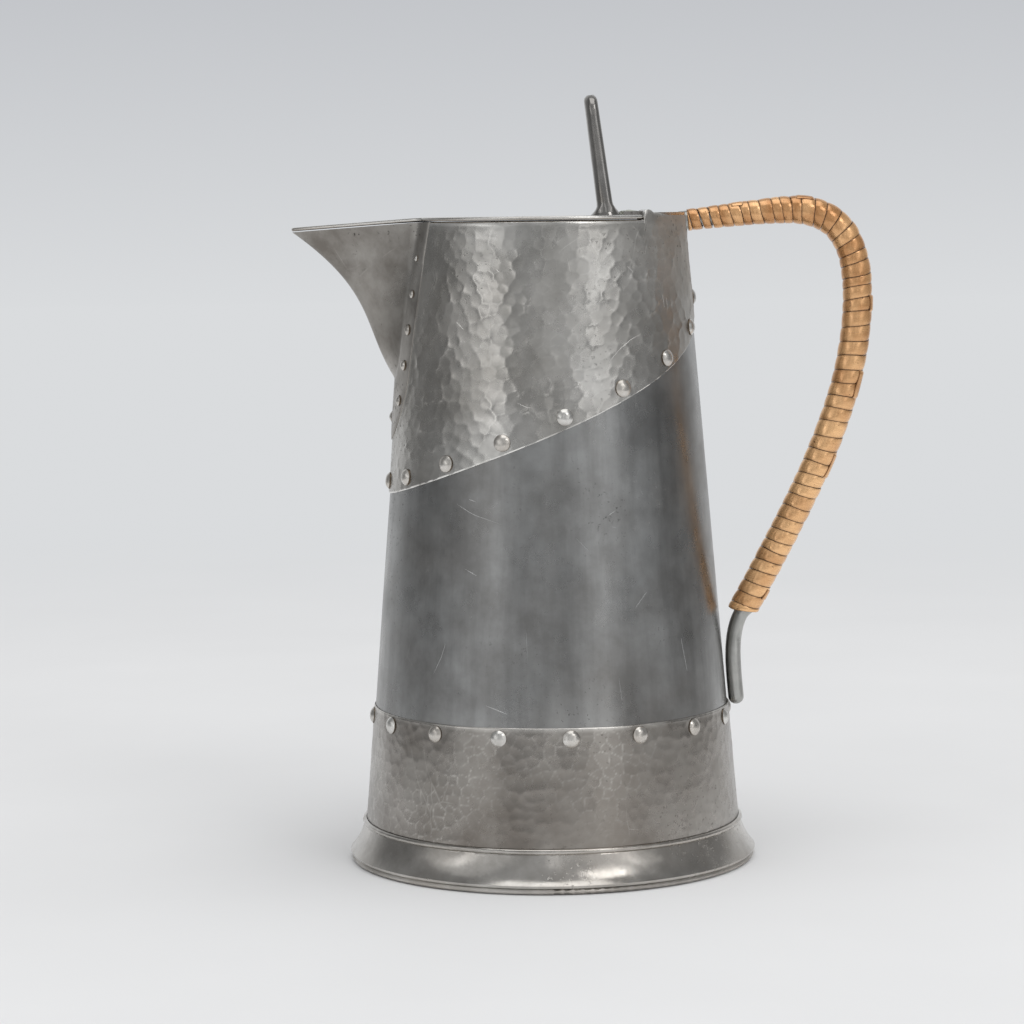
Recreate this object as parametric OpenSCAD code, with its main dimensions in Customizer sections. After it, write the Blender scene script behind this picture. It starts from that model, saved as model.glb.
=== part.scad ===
// Pewter flagon with a riveted body, a beak spout, a hinged lid and a cane-bound handle.
// The origin is the centre of the base, +Z is up, the spout points to -X and the handle to +X.

/* [Body] */
// Outer radius of the body wall at table level
base_r = 57; // [52:0.5:62]
// Outer radius of the body wall at the rim
rim_r = 41.2; // [38:0.2:45]
// Height of the rim above the table
rim_z = 191.5; // [180:0.5:205]
// Thickness of the body wall
wall_t = 1.3; // [0.9:0.1:2]
// Clearance between two pieces that are fixed to each other
seat_gap = 0.05; // [0.03:0.01:0.1]

/* [Foot] */
// Thickness of the base plate, whose edge shows as the lowest bead
plate_t = 1.8; // [1.2:0.1:2.6]
// Reach of the base plate past the body wall
plate_reach = 3.9; // [2.5:0.1:4.2]
// Height of the foot ring above the base plate
foot_h = 10.6; // [8:0.2:14]
// Reach of the widest edge of the foot ring past the body wall
foot_reach = 4.3; // [3.5:0.1:6]
// Height of the widest edge above the base plate
foot_edge_h = 0.8; // [0.4:0.1:1.4]
// Depth of the hollow in the flare of the foot ring, 0 is straight
foot_hollow = 0.3; // [0:0.05:0.6]
// Radius of the bead around the top of the foot ring
foot_bead_r = 0.8; // [0.5:0.1:1.2]

/* [Bands] */
// Thickness of the hammered bands
band_t = 0.4; // [0.3:0.05:0.8]
// Height of the upper edge of the lower band
lower_band_z = 46.8; // [36:0.2:60]
// Drop from the rim to the upper band's edge at the spout
band_front_drop = 80.8; // [72:0.2:95]
// Drop from the rim to the upper band's edge at the handle
band_back_drop = 29.3; // [22:0.1:40]
// Angle over which the edge eases from level to its steady climb
band_ease = 60; // [30:1:90]
// Angle by which the near end of the upper band laps over the far end
band_lap = 18; // [15:1:24]

/* [Rivets] */
// Number of rivets in a full turn of a band
rivet_count = 16; // [11:1:17]
// Turn of the first rivet of a band from the middle of the spout
rivet_turn = 6; // [0:1:8]
// Radius of a band rivet's head
rivet_head_r = 2.55; // [2:0.05:2.8]
// Height of a band rivet's dome
rivet_dome = 1.15; // [0.7:0.05:1.5]
// Radius of a band rivet's shank
rivet_shank_r = 1.2; // [0.8:0.1:1.5]
// Thickness of the flattened tail inside the wall
rivet_tail_t = 0.6; // [0.4:0.1:1]
// Distance of the lower row of rivets below the lower band's edge
lower_rivet_drop = 3.1; // [2.9:0.1:5]
// Distance of the upper row of rivets above the upper band's edge
upper_rivet_rise = 3.7; // [3:0.1:5]
// Radius of a spout rivet's head
spout_rivet_r = 1.65; // [1.2:0.05:1.8]
// Height of a spout rivet's dome
spout_rivet_dome = 0.8; // [0.5:0.05:1.1]
// Radius of a spout rivet's shank
spout_shank_r = 0.8; // [0.5:0.1:1]
// Rivets down each side of the spout's flange
spout_side_rivets = 5; // [4:1:5]
// Height between two spout rivets
spout_rivet_pitch = 10.5; // [9.5:0.1:10.8]
// Drop from the rim to the highest spout rivet
spout_rivet_drop = 10.5; // [9:0.1:12]
// Distance of the spout rivets from the flange's edge
spout_rivet_inset = 3.6; // [3:0.1:4]

/* [Spout] */
// Reach of the spout's tip past the rim
spout_reach = 34.7; // [28:0.1:40]
// Drop of the spout's tip below the rim
tip_drop = 2.6; // [1:0.1:4]
// Drop of the spout's heel below the rim
heel_drop = 46.4; // [43:0.2:50]
// Slope of the keel at the tip, in degrees below level
keel_tip_angle = 36; // [28:1:44]
// Pull of the keel's curve at the tip
keel_tip_pull = 31; // [24:0.5:34]
// Slope of the keel at the heel, in degrees below level
keel_heel_angle = 58; // [50:1:66]
// Pull of the keel's curve at the heel
keel_heel_pull = 18; // [12:0.5:22]
// Half width of the spout at the rim
fold_top_w = 19.7; // [18:0.1:21]
// Half width of the spout above its round heel
fold_end_w = 12.7; // [11:0.1:14]
// Height of the round heel
fold_end_h = 9.4; // [7:0.2:12]
// Share of the half width that the rounded nose takes up
nose_share = 0.2; // [0.1:0.02:0.4]
// Thickness of the spout's sheet along the keel
keel_t = 1.6; // [1:0.1:2.2]
// Thickness of the flange and of the spout's sides
flange_t = 0.4; // [0.3:0.05:0.7]
// Half width of the flange at the rim
flange_top_w = 24.4; // [23:0.1:26]
// Half width of the flange where its round end begins
flange_end_w = 19.9; // [18.5:0.1:21]
// Height of the flange's round end
flange_end_h = 23; // [20:0.5:26]
// Length of the flange below the spout's heel
flange_below = 18.6; // [16:0.2:20]

/* [Lid] */
// Thickness of the lid's plate
lid_t = 1.1; // [0.9:0.1:1.8]
// Gap between the closed lid and the rim
lid_gap = 0.3; // [0.25:0.05:0.5]
// Overhang of the lid past the upper band
lid_over = 0.2; // [0.1:0.05:0.5]
// Angle of the thumb piece's lean towards the spout
thumb_lean = 7.3; // [4:0.1:12]
// Height of the thumb piece above the lid
thumb_h = 35.8; // [26:0.1:40]
// Distance of the thumb piece ahead of the hinge
thumb_ahead = 11.8; // [10.5:0.1:14]
// Thickness of the thumb piece at its foot
thumb_foot_t = 4.9; // [4:0.1:5.5]
// Thickness of the thumb piece at its tip
thumb_tip_t = 4; // [3:0.1:5]
// Width of the thumb piece at its foot
thumb_foot_w = 7.6; // [6:0.2:8]
// Width of the thumb piece at its tip
thumb_tip_w = 12.6; // [8:0.2:14]
// Radius of the flared seat under the thumb piece
thumb_seat_r = 4.8; // [4.4:0.1:5.4]
// Height of the flared seat
thumb_seat_h = 1.2; // [1:0.1:1.8]

/* [Hinge] */
// Distance of the hinge axis in from the back of the rim
hinge_inset = 11.4; // [10:0.1:13]
// Radius of the hinge knuckles
knuckle_r = 1.4; // [1.3:0.05:1.8]
// Lift of the knuckles off the rim
knuckle_lift = 0.1; // [0.05:0.05:0.3]
// Half length of the lid's knuckle
lid_knuckle_half = 9.7; // [7:0.1:12]
// Running gap around the lid's knuckle
hinge_gap = 0.35; // [0.3:0.05:0.5]
// Radius of the hinge pin
pin_r = 0.7; // [0.5:0.05:0.8]
// Running clearance around the hinge pin
pin_gap = 0.05; // [0.03:0.01:0.08]
// Distance of the barrel's ends from the edge of the hinge plate
barrel_inset = 0.9; // [0.6:0.1:1.5]
// Thickness of the fixed plate behind the hinge
hinge_plate_t = 2.1; // [1.5:0.1:2.4]
// Thickness of the leaf that ties the lid to its knuckle
leaf_t = 1.1; // [0.6:0.1:1.2]
// Gap between the leaf and the thumb piece's seat
leaf_gap = 0.2; // [0.1:0.05:0.4]

/* [Handle] */
// Drop of the handle's socket below the rim
socket_drop = 0.4; // [0:0.1:0.6]
// Radius of the socket
socket_r = 2.8; // [2.5:0.1:3.2]
// Reach of the socket past the lap of the upper band
socket_reach = 0.5; // [0.3:0.1:1]
// Depth of the socket behind the wall's outer face
socket_depth = 1.4; // [1.3:0.1:2]
// Climb of the handle where it leaves the socket
handle_climb = 5; // [0:0.5:8]
// Rise of the handle's crest above the rim
crest_rise = 2.4; // [1.6:0.1:4]
// Distance of the crest past the rim
crest_reach = 31.8; // [26:0.2:38]
// Distance of the handle's outermost point past the rim
handle_reach = 51.7; // [46:0.1:60]
// Drop of the outermost point below the rim
handle_drop = 23.4; // [20:0.2:30]
// Height of the lower end of the cane binding
grip_end_z = 72.5; // [66:0.5:82]
// Distance from the wall to the middle of the grip at its lower end
grip_end_gap = 6.4; // [5.6:0.1:9]
// Slant of the grip at its lower end, from upright
grip_end_slant = 28; // [22:0.5:34]
// Lap of the tang's end over the lower band
tang_lap = 1.6; // [0.6:0.1:2.4]
// Radius of the bar in the socket
bar_start_r = 2; // [1.6:0.05:2.1]
// Radius of the bar inside the grip
bar_grip_r = 3.15; // [2.6:0.05:3.4]
// Length over which the bar grows from the socket to the grip
bar_taper = 46; // [30:1:60]
// Half thickness of the tang on the wall
tang_half_t = 2.35; // [1.8:0.05:2.6]
// Half width of the tang on the wall
tang_half_w = 3.2; // [2.4:0.1:4]
// Thickness of the lengthwise cane under the binding
leader_t = 0.35; // [0.25:0.05:0.5]
// Half angle that the lengthwise cane covers on the bar
leader_half = 26; // [15:1:40]
// Thickness of the binding cane
cane_t = 0.8; // [0.6:0.05:1]
// Crown of the binding cane across its width
cane_crown = 0.22; // [0.1:0.02:0.35]
// Gap between two turns of the binding, along the bar
cane_gap = 0.66; // [0.6:0.02:0.9]
// Turns of the binding
cane_turns = 24; // [16:1:24]
// Clearance between the binding and what it is wound on
cane_clear = 0.12; // [0.1:0.02:0.2]

/* [Hidden] */

// Facets of a large round, a small round and a pin
round_fn = 180;
rivet_fn = 32;
pin_fn = 48;
// Reach of a cut past the solid that it cuts
past = 1;

// Colours of the metal and of the cane
pewter_dark = [0.42, 0.43, 0.43];
pewter_warm = [0.50, 0.48, 0.45];
pewter_bright = [0.72, 0.71, 0.69];
cane_tan = [0.72, 0.48, 0.24];

// Offsets from the body wall's outer face, outwards layer by layer
band_in = seat_gap;
band_out = band_in + band_t;
lap_out = band_out + band_t;
flange_in = band_out + seat_gap;
flange_out = flange_in + flange_t;

// Heights and places that follow from the sizes above
wall_tilt = atan((base_r - rim_r) / rim_z);
foot_top_z = plate_t + foot_h;
heel_z = rim_z - heel_drop;
tip_z = rim_z - tip_drop;
fold_end_z = heel_z + fold_end_h;
flange_end_z = heel_z - flange_below + flange_end_h;
lid_z = rim_z + lid_gap;
lid_top_z = lid_z + lid_t;
hinge_x = rim_r - hinge_inset;
hinge_z = rim_z + knuckle_lift + knuckle_r;
barrel_half = sqrt(pow(rim_r + band_out, 2) - pow(hinge_x, 2)) - barrel_inset;
thumb_x = hinge_x - thumb_ahead;
rivet_step = 360 / rivet_count;
rivet_tail_r = rivet_head_r * 0.7;
spout_tail_r = spout_rivet_r * 0.8;

// Radius of the body wall's outer face at a height
function wall_r(z) = base_r - (base_r - rim_r) * z / rim_z;

// Point at share t of a straight line between two values or points
function mix(a, b, t) = a + (b - a) * t;

// Points at share t of a curve with one or two control points
function curve2(a, b, c, t) = mix(mix(a, b, t), mix(b, c, t), t);
function curve3(a, b, c, d, t) = mix(curve2(a, b, c, t), curve2(b, c, d, t), t);

// Smooth step from 0 to 1
function ease(t) = let (c = min(1, max(0, t))) c * c * (3 - 2 * c);

// Conical sleeve on the body wall, between two offsets and two heights
module wall_sleeve(inner, outer, z0, z1) {
    rotate_extrude($fn = round_fn)
        polygon([
            [wall_r(z0) + inner, z0],
            [wall_r(z0) + outer, z0],
            [wall_r(z1) + outer, z1],
            [wall_r(z1) + inner, z1]
        ]);
}

// Places its children on the wall, with +Z along the wall's outward normal.
// The turn is 0 at the spout and 180 at the handle.
module on_wall(turn, z, offset) {
    rotate([0, 0, 180 + turn])
        translate([wall_r(z), 0, z])
            rotate([0, 90 - wall_tilt, 0])
                translate([0, 0, offset * cos(wall_tilt)])
                    children();
}

// Height of the upper band's lower edge at a turn from the spout
band_front_z = rim_z - band_front_drop;
band_back_z = rim_z - band_back_drop;
function eased_turn(turn) = sqrt(turn * turn + band_ease * band_ease) - band_ease;
function band_edge_z(turn) = mix(band_front_z, band_back_z, eased_turn(turn) / eased_turn(180));

// Half width of a shield outline at a height: straight sides over a half ellipse
function shield_w(z, top_w, end_w, end_z, end_h) =
    z >= end_z
        ? mix(end_w, top_w, (z - end_z) / (rim_z - end_z))
        : end_w * sqrt(max(0, 1 - pow((end_z - z) / end_h, 2)));
function fold_w(z) = shield_w(z, fold_top_w, fold_end_w, fold_end_z, fold_end_h);
function flange_w(z) = shield_w(z, flange_top_w, flange_end_w, flange_end_z, flange_end_h);

// Rivet with its head's flat face at z = 0, its shank through a stack and its tail beyond it
module rivet(head_r, dome, shank_r, tail_r, stack) {
    ball_r = (head_r * head_r + dome * dome) / (2 * dome);
    half = asin(head_r / ball_r);
    steps = 8;
    rotate_extrude($fn = rivet_fn)
        polygon(concat(
            [
                [0, -stack - rivet_tail_t],
                [tail_r, -stack - rivet_tail_t],
                [tail_r, -stack],
                [shank_r, -stack],
                [shank_r, 0]
            ],
            [for (i = [0:steps]) let (a = half * (1 - i / steps))
                [ball_r * sin(a), dome - ball_r * (1 - cos(a))]]
        ));
}

// Hole for a rivet's shank, through everything at its place
module rivet_hole(shank_r) {
    reach = wall_t + flange_out + lap_out + past;
    translate([0, 0, -reach])
        cylinder(r = shank_r + seat_gap, h = 2 * reach, $fn = rivet_fn);
}

// Places of the rivets, as turn, height and offset of the face under the head
lower_rivet_places = [for (i = [0:rivet_count - 1])
    [rivet_turn + i * rivet_step, lower_band_z - lower_rivet_drop, band_out]];
lap_clear = 6;
upper_near = floor((180 - lap_clear - rivet_turn) / rivet_step);
upper_far = floor((180 - lap_clear - band_lap + rivet_turn) / rivet_step);
lap_rivet_turn = 180 + band_lap / 3;
upper_rivet_places = concat(
    [for (i = [-upper_far:upper_near]) let (turn = rivet_turn + i * rivet_step)
        [turn, band_edge_z(turn) + upper_rivet_rise, band_out]],
    [[lap_rivet_turn, band_edge_z(lap_rivet_turn) + upper_rivet_rise, lap_out]]
);
spout_rivet_z = [for (i = [0:spout_side_rivets - 1]) rim_z - spout_rivet_drop - i * spout_rivet_pitch];
spout_end_rivet_z = heel_z - flange_below + spout_rivet_inset + 2 * spout_rivet_r;
spout_rivet_places = concat(
    [for (side = [-1, 1], z = spout_rivet_z)
        [side * asin((flange_w(z) - spout_rivet_inset) / (wall_r(z) + flange_out)), z, flange_out]],
    [[0, spout_end_rivet_z, flange_out]]
);

// Rivets at a list of places, seated a hair above the face
module rivet_row(places, head_r, dome, shank_r, tail_r) {
    tail_gap = tail_r * tail_r / (2 * (rim_r - wall_t)) + seat_gap;
    for (p = places)
        on_wall(p[0], p[1], p[2] + seat_gap)
            rivet(head_r, dome, shank_r, tail_r, wall_t + p[2] + seat_gap + tail_gap);
}

// Shank holes at a list of places
module rivet_holes(places, shank_r) {
    for (p = places)
        on_wall(p[0], p[1], 0)
            rivet_hole(shank_r);
}

// Opening in the wall behind the spout, seen along X
module spout_opening() {
    steps = 12;
    side = concat(
        [[fold_top_w, rim_z + past], [fold_top_w, rim_z]],
        [for (i = [0:steps - 1]) let (a = 90 * i / steps)
            [fold_end_w * cos(a), fold_end_z - fold_end_h * sin(a)]]
    );
    tip = [[0, heel_z]];
    far = [for (i = [len(side) - 1:-1:0]) [-side[i][0], side[i][1]]];
    rotate([90, 0, -90])
        linear_extrude(height = base_r)
            polygon(concat(side, tip, far));
}

// Room for the handle's socket
module socket_room(radius, from, to) {
    translate([rim_r, 0, rim_z - socket_drop])
        rotate([0, 90 - handle_climb, 0])
            translate([0, 0, from])
                cylinder(r = radius, h = to - from, $fn = pin_fn);
}

// Base plate with a rounded edge
module base_plate() {
    edge_r = plate_t / 2;
    color(pewter_bright) {
        cylinder(r = base_r + plate_reach - edge_r, h = plate_t, $fn = round_fn);
        rotate_extrude($fn = round_fn)
            translate([base_r + plate_reach - edge_r, edge_r])
                circle(r = edge_r, $fn = rivet_fn);
    }
}

// Flared ring around the bottom of the lower band, with a bead at its top
module foot_ring() {
    steps = 8;
    inner = band_out + seat_gap;
    widest = [base_r + foot_reach, plate_t + foot_edge_h];
    bead_mid = [wall_r(foot_top_z) + inner + foot_bead_r / 3, foot_top_z - foot_bead_r];
    under_bead = [bead_mid[0] + foot_bead_r / 3, bead_mid[1] - foot_bead_r];
    straight_mid = mix(widest, under_bead, 0.5);
    bend = mix(straight_mid, [under_bead[0], widest[1]], foot_hollow);
    color(pewter_bright)
        rotate_extrude($fn = round_fn)
            polygon(concat(
                [[wall_r(plate_t) + inner, plate_t], [base_r + plate_reach, plate_t]],
                [for (i = [0:steps]) curve2(widest, bend, under_bead, i / steps)],
                [for (i = [1:steps]) let (a = -90 + 180 * i / steps)
                    bead_mid + foot_bead_r * [cos(a), sin(a)]],
                [[wall_r(foot_top_z) + inner, foot_top_z]]
            ));
}

// Conical wall, open behind the spout
module body_wall() {
    color(pewter_dark)
        difference() {
            wall_sleeve(-wall_t, 0, plate_t, rim_z);
            spout_opening();
            rivet_holes(lower_rivet_places, rivet_shank_r);
            rivet_holes(upper_rivet_places, rivet_shank_r);
            rivet_holes(spout_rivet_places, spout_shank_r);
            socket_room(socket_r + seat_gap, -socket_depth - wall_t, socket_reach + lap_out);
        }
}

// Hammered band around the bottom of the wall
module lower_band() {
    color(pewter_warm)
        difference() {
            wall_sleeve(band_in, band_out, plate_t, lower_band_z);
            rivet_holes(lower_rivet_places, rivet_shank_r);
        }
}

module lower_band_rivets() {
    color(pewter_bright)
        rivet_row(lower_rivet_places, rivet_head_r, rivet_dome, rivet_shank_r, rivet_tail_r);
}

// Everything above the upper band's edge, seen along Y
module above_band_edge() {
    turn_step = 6;
    wide = base_r + past;
    edge = [for (turn = [0:turn_step:180]) let (z = band_edge_z(turn))
        [-(wall_r(z) + band_out) * cos(turn), z]];
    rotate([90, 0, 0])
        linear_extrude(height = 2 * wide, center = true)
            polygon(concat(
                [[-wide, band_front_z]],
                edge,
                [[wide, band_back_z], [wide, rim_z + past], [-wide, rim_z + past]]
            ));
}

// Everything in the lap at the back, seen along X
module in_band_lap() {
    turn_step = 2;
    edge = [for (turn = [180 - turn_step:turn_step:180 + band_lap]) let (z = band_edge_z(turn))
        [(wall_r(z) + lap_out) * sin(turn - 180), z]];
    first = edge[0];
    last = edge[len(edge) - 1];
    rotate([90, 0, 90])
        linear_extrude(height = base_r)
            polygon(concat(edge, [[last[0], rim_z + past], [first[0], rim_z + past]]));
}

// Hammered band around the top of the wall, with a climbing edge and a lap at the back
module upper_band() {
    bond = band_t / 4;
    color(pewter_warm)
        difference() {
            union() {
                intersection() {
                    wall_sleeve(band_in, band_out, band_front_z, rim_z);
                    above_band_edge();
                }
                intersection() {
                    wall_sleeve(band_out - bond, lap_out, band_back_z - past, rim_z);
                    in_band_lap();
                }
            }
            spout_opening();
            rivet_holes(upper_rivet_places, rivet_shank_r);
            rivet_holes(spout_rivet_places, spout_shank_r);
            socket_room(socket_r + seat_gap, -socket_depth - wall_t, socket_reach + lap_out);
        }
}

module upper_band_rivets() {
    color(pewter_bright)
        rivet_row(upper_rivet_places, rivet_head_r, rivet_dome, rivet_shank_r, rivet_tail_r);
}

// Keel of the spout from the tip, at t = 0, to the heel, at t = 1, as X and Z
keel_tip = [-(rim_r + spout_reach), tip_z];
keel_heel = [-(wall_r(heel_z) + flange_out), heel_z];
keel_tip_bend = keel_tip + keel_tip_pull * [cos(keel_tip_angle), -sin(keel_tip_angle)];
keel_heel_bend = keel_heel + keel_heel_pull * [-cos(keel_heel_angle), sin(keel_heel_angle)];
function keel(t) = curve3(keel_tip, keel_tip_bend, keel_heel_bend, keel_heel, t);

// Height on the fold that belongs to a point on the keel
function fold_z(k) = mix(rim_z, heel_z, (tip_z - k[1]) / (tip_z - heel_z));

// Point on a cone around the wall, at a height, an offset and a distance across
function on_cone(z, offset, y) = let (r = wall_r(z) + offset) [-sqrt(r * r - y * y), y, z];

// Half of a level section of the beak, from the fold, at s = 0, to the keel, at s = 1
function beak_plan(fold, nose_x, nose_y, s) =
    curve2([fold[0], fold[1]], [nose_x, nose_y], [nose_x, 0], s);
function beak_point(fold, nose_x, nose_y, nose_z, side, s) =
    let (p = beak_plan(fold, nose_x, nose_y, s))
    [p[0], side * p[1], mix(fold[2], nose_z, (fold[0] - p[0]) / max(0.001, fold[0] - nose_x))];

// Outer and inner points of one section of the spout, across from one flange edge to the other
beak_cols = 8;
flange_cols = 6;
half_cols = beak_cols + flange_cols;
function section_share(j) = abs(j) <= beak_cols ? 1 - abs(j) / beak_cols : 0;
function flange_share(j) = max(0, abs(j) - beak_cols) / flange_cols;
function flange_point(z, offset, fold_y, edge_y, side, share) =
    let (r = wall_r(z) + offset, a = mix(asin(fold_y / r), asin(edge_y / r), share))
    on_cone(z, offset, side * r * sin(a));
function beak_row(t, inside) =
    let (
        k = keel(t),
        z = fold_z(k),
        offset = inside ? flange_in : flange_out,
        fold_y = fold_w(z) - (inside ? flange_t : 0),
        fold = on_cone(z, offset, fold_y),
        nose_x = inside ? min(k[0] + keel_t, -(wall_r(k[1]) + flange_in)) : k[0],
        nose_y = nose_share * fold_w(z) - (inside ? flange_t / 2 : 0)
    )
    [for (j = [-half_cols:half_cols]) let (side = j < 0 ? -1 : 1)
        abs(j) <= beak_cols
            ? beak_point(fold, nose_x, nose_y, k[1], side, section_share(j))
            : flange_point(z, offset, fold_y, flange_w(z), side, flange_share(j))];
function flange_row(z, split, inside) =
    let (offset = inside ? flange_in : flange_out, r = wall_r(z) + offset, half = asin(flange_w(z) / r))
    [for (j = [-half_cols:half_cols])
        let (
            side = j < 0 ? -1 : 1,
            share = abs(j) <= beak_cols ? split * abs(j) / beak_cols : mix(split, 1, flange_share(j))
        )
        on_cone(z, offset, side * r * sin(half * share))];

// Sections of the spout from the rim down to the end of the flange
beak_rows = 14;
flange_rows = 7;
flange_last = 80;
heel_split = 0.4;
function flange_row_z(i) = heel_z - flange_below * sin(flange_last * i / flange_rows);
function flange_split(i) = mix(heel_split, beak_cols / half_cols, i / flange_rows);
function spout_rows(inside) = concat(
    [for (i = [0:beak_rows - 1]) beak_row(i / beak_rows, inside)],
    [for (i = [0:flange_rows]) flange_row(flange_row_z(i), flange_split(i), inside)]
);

// All points of a list of rows
function flat(rows) = [for (row = rows, p = row) p];

// Faces of a sheet with an outer and an inner layer of points, as triangles
function sheet_faces(rows, cols) =
    let (n = rows * cols)
    concat(
        [for (i = [0:rows - 2], j = [0:cols - 2]) let (a = i * cols + j, b = a + cols)
            each [[a, b, a + 1], [a + 1, b, b + 1],
                [n + a, n + a + 1, n + b], [n + a + 1, n + b + 1, n + b]]],
        [for (j = [0:cols - 2]) let (a = j, b = (rows - 1) * cols + j)
            each [[a, a + 1, n + a], [n + a, a + 1, n + a + 1],
                [b, n + b, b + 1], [n + b, n + b + 1, b + 1]]],
        [for (i = [0:rows - 2]) let (a = i * cols, b = a + cols, c = a + cols - 1, d = b + cols - 1)
            each [[a, n + a, b], [n + a, n + b, b],
                [c, d, n + c], [n + c, d, n + d]]]
    );

// Faces of a tube with rings of n points, closed at both ends, as triangles
function tube_faces(rings, n) = concat(
    [for (i = [0:rings - 2], j = [0:n - 1]) let (a = i * n, b = a + n, k = (j + 1) % n)
        each [[a + j, b + j, a + k], [a + k, b + j, b + k]]],
    [for (j = [1:n - 2]) [0, j, j + 1]],
    [for (j = [1:n - 2]) let (last = (rings - 1) * n) [last, last + j + 1, last + j]]
);

// Beak with its riveted flange, one sheet
module spout() {
    outer = spout_rows(false);
    inner = spout_rows(true);
    color(pewter_warm)
        difference() {
            polyhedron(
                points = concat(flat(outer), flat(inner)),
                faces = sheet_faces(len(outer), 2 * half_cols + 1)
            );
            rivet_holes(spout_rivet_places, spout_shank_r);
        }
}

module spout_rivets() {
    color(pewter_bright)
        rivet_row(spout_rivet_places, spout_rivet_r, spout_rivet_dome, spout_shank_r, spout_tail_r);
}

// Stretch of the hinge's barrel between two places along Y
module knuckle(y0, y1) {
    translate([hinge_x, y0, hinge_z])
        rotate([-90, 0, 0])
            cylinder(r = knuckle_r, h = y1 - y0, $fn = pin_fn);
}

// Hole for the hinge pin
module pin_hole() {
    translate([hinge_x, 0, hinge_z])
        rotate([90, 0, 0])
            cylinder(r = pin_r + pin_gap, h = 2 * base_r, center = true, $fn = pin_fn);
}

// Fixed plate behind the hinge, with the outer knuckles
module hinge_plate() {
    fixed_from = lid_knuckle_half + hinge_gap;
    notch_x = hinge_x + knuckle_r + hinge_gap;
    top_r = wall_r(rim_z + hinge_plate_t) + band_out;
    color(pewter_dark)
        difference() {
            union() {
                intersection() {
                    translate([0, 0, rim_z])
                        cylinder(r1 = rim_r + band_out, r2 = top_r, h = hinge_plate_t, $fn = round_fn);
                    translate([hinge_x, -base_r, rim_z - past])
                        cube([base_r, 2 * base_r, hinge_plate_t + 2 * past]);
                }
                knuckle(fixed_from, barrel_half);
                knuckle(-barrel_half, -fixed_from);
            }
            translate([hinge_x - past, -fixed_from, rim_z - past])
                cube([notch_x - hinge_x + past, 2 * fixed_from, hinge_plate_t + 2 * knuckle_r]);
            pin_hole();
            socket_room(socket_r + seat_gap, -socket_depth - seat_gap, socket_reach + lap_out + past);
        }
}

module hinge_pin() {
    color(pewter_bright)
        translate([hinge_x, 0, hinge_z])
            rotate([90, 0, 0])
                cylinder(r = pin_r, h = 2 * barrel_half, center = true, $fn = pin_fn);
}

// Collar that carries the upper end of the handle's bar
module handle_socket() {
    color(pewter_bright)
        difference() {
            socket_room(socket_r, -socket_depth, socket_reach + lap_out);
            socket_room(bar_start_r + seat_gap, -socket_depth - past, socket_reach + lap_out + past);
        }
}

// Centre line of the handle as X and Z, in four curves that meet smoothly
tang_end_z = lower_band_z - tang_lap;
tang_off = band_out + seat_gap + tang_half_t;
grip_dir = [-sin(grip_end_slant), -cos(grip_end_slant)];
tang_dir = [sin(wall_tilt), -cos(wall_tilt)];
climb_dir = [cos(handle_climb), sin(handle_climb)];
bar_start = [rim_r, rim_z - socket_drop] - socket_depth * climb_dir;
crest = [rim_r + crest_reach, rim_z + crest_rise];
outermost = [rim_r + handle_reach, rim_z - handle_drop];
grip_end = [wall_r(grip_end_z) + grip_end_gap, grip_end_z];
tang_end = [wall_r(tang_end_z) + tang_off / cos(wall_tilt), tang_end_z];
// Pull of each curve, as a share of the distance that it spans
start_pull = 0.35;
crest_pull = 0.22;
bend_pull = 0.47;
drop_pull = 0.32;
end_pull = 0.36;
neck_pull = 0.28;
tang_pull = 0.36;
top_run = crest[0] - bar_start[0];
bend_run = norm(outermost - crest);
grip_run = norm(grip_end - outermost);
tang_run = norm(tang_end - grip_end);
function handle_curve(u) =
    let (i = min(3, floor(u)), t = u - i)
    i == 0 ? curve3(bar_start, bar_start + start_pull * top_run * climb_dir,
            crest - [crest_pull * top_run, 0], crest, t)
    : i == 1 ? curve3(crest, crest + [bend_pull * bend_run, 0],
            outermost + [0, bend_pull * bend_run], outermost, t)
    : i == 2 ? curve3(outermost, outermost - [0, drop_pull * grip_run],
            grip_end - end_pull * grip_run * grip_dir, grip_end, t)
    : curve3(grip_end, grip_end + neck_pull * tang_run * grip_dir,
            tang_end - tang_pull * tang_run * tang_dir, tang_end, t);

// Length along the centre line, measured in short steps, against the curve's own place
curve_steps = 48;
step_u = [for (i = [0:4 * curve_steps]) i / curve_steps];
step_point = [for (u = step_u) handle_curve(u)];
step_length = [for (i = 0, s = 0; i < len(step_u);
    i = i + 1, s = i < len(step_u) ? s + norm(step_point[i] - step_point[i - 1]) : s) s];
length_table = [for (i = [0:len(step_u) - 1]) [step_length[i], step_u[i]]];
bar_length = step_length[len(step_u) - 1];
grip_start_s = socket_depth + socket_reach + lap_out + seat_gap;
grip_end_s = step_length[3 * curve_steps];
function bar_at(s) = handle_curve(lookup(s, length_table));

// Direction of the centre line, by a short step to each side
function bar_dir(s) =
    let (h = 0.2, a = bar_at(max(0, s - h)), b = bar_at(min(bar_length, s + h)))
    (b - a) / norm(b - a);

// Point beside the bar at a length along it: out is away from the body, across is along Y
function beside_bar(s, out, across) =
    let (p = bar_at(s), d = bar_dir(s))
    [p[0] - d[1] * out, across, p[1] + d[0] * out];

// Half thickness and half width of the bar along its length
neck_r = bar_start_r + 0.25;
function tang_share(s) = ease((s - grip_end_s - tang_half_t) / (bar_length - grip_end_s) * 2);
function neck_share(s) = ease((s - grip_end_s + bar_grip_r) / bar_grip_r);
function bar_r(s) = mix(bar_start_r, bar_grip_r, ease((s - grip_start_s) / bar_taper));
function bar_half_t(s) = mix(mix(bar_r(s), neck_r, neck_share(s)), tang_half_t, tang_share(s));
function bar_half_w(s) = mix(mix(bar_r(s), neck_r, neck_share(s)), tang_half_w, tang_share(s));

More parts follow.
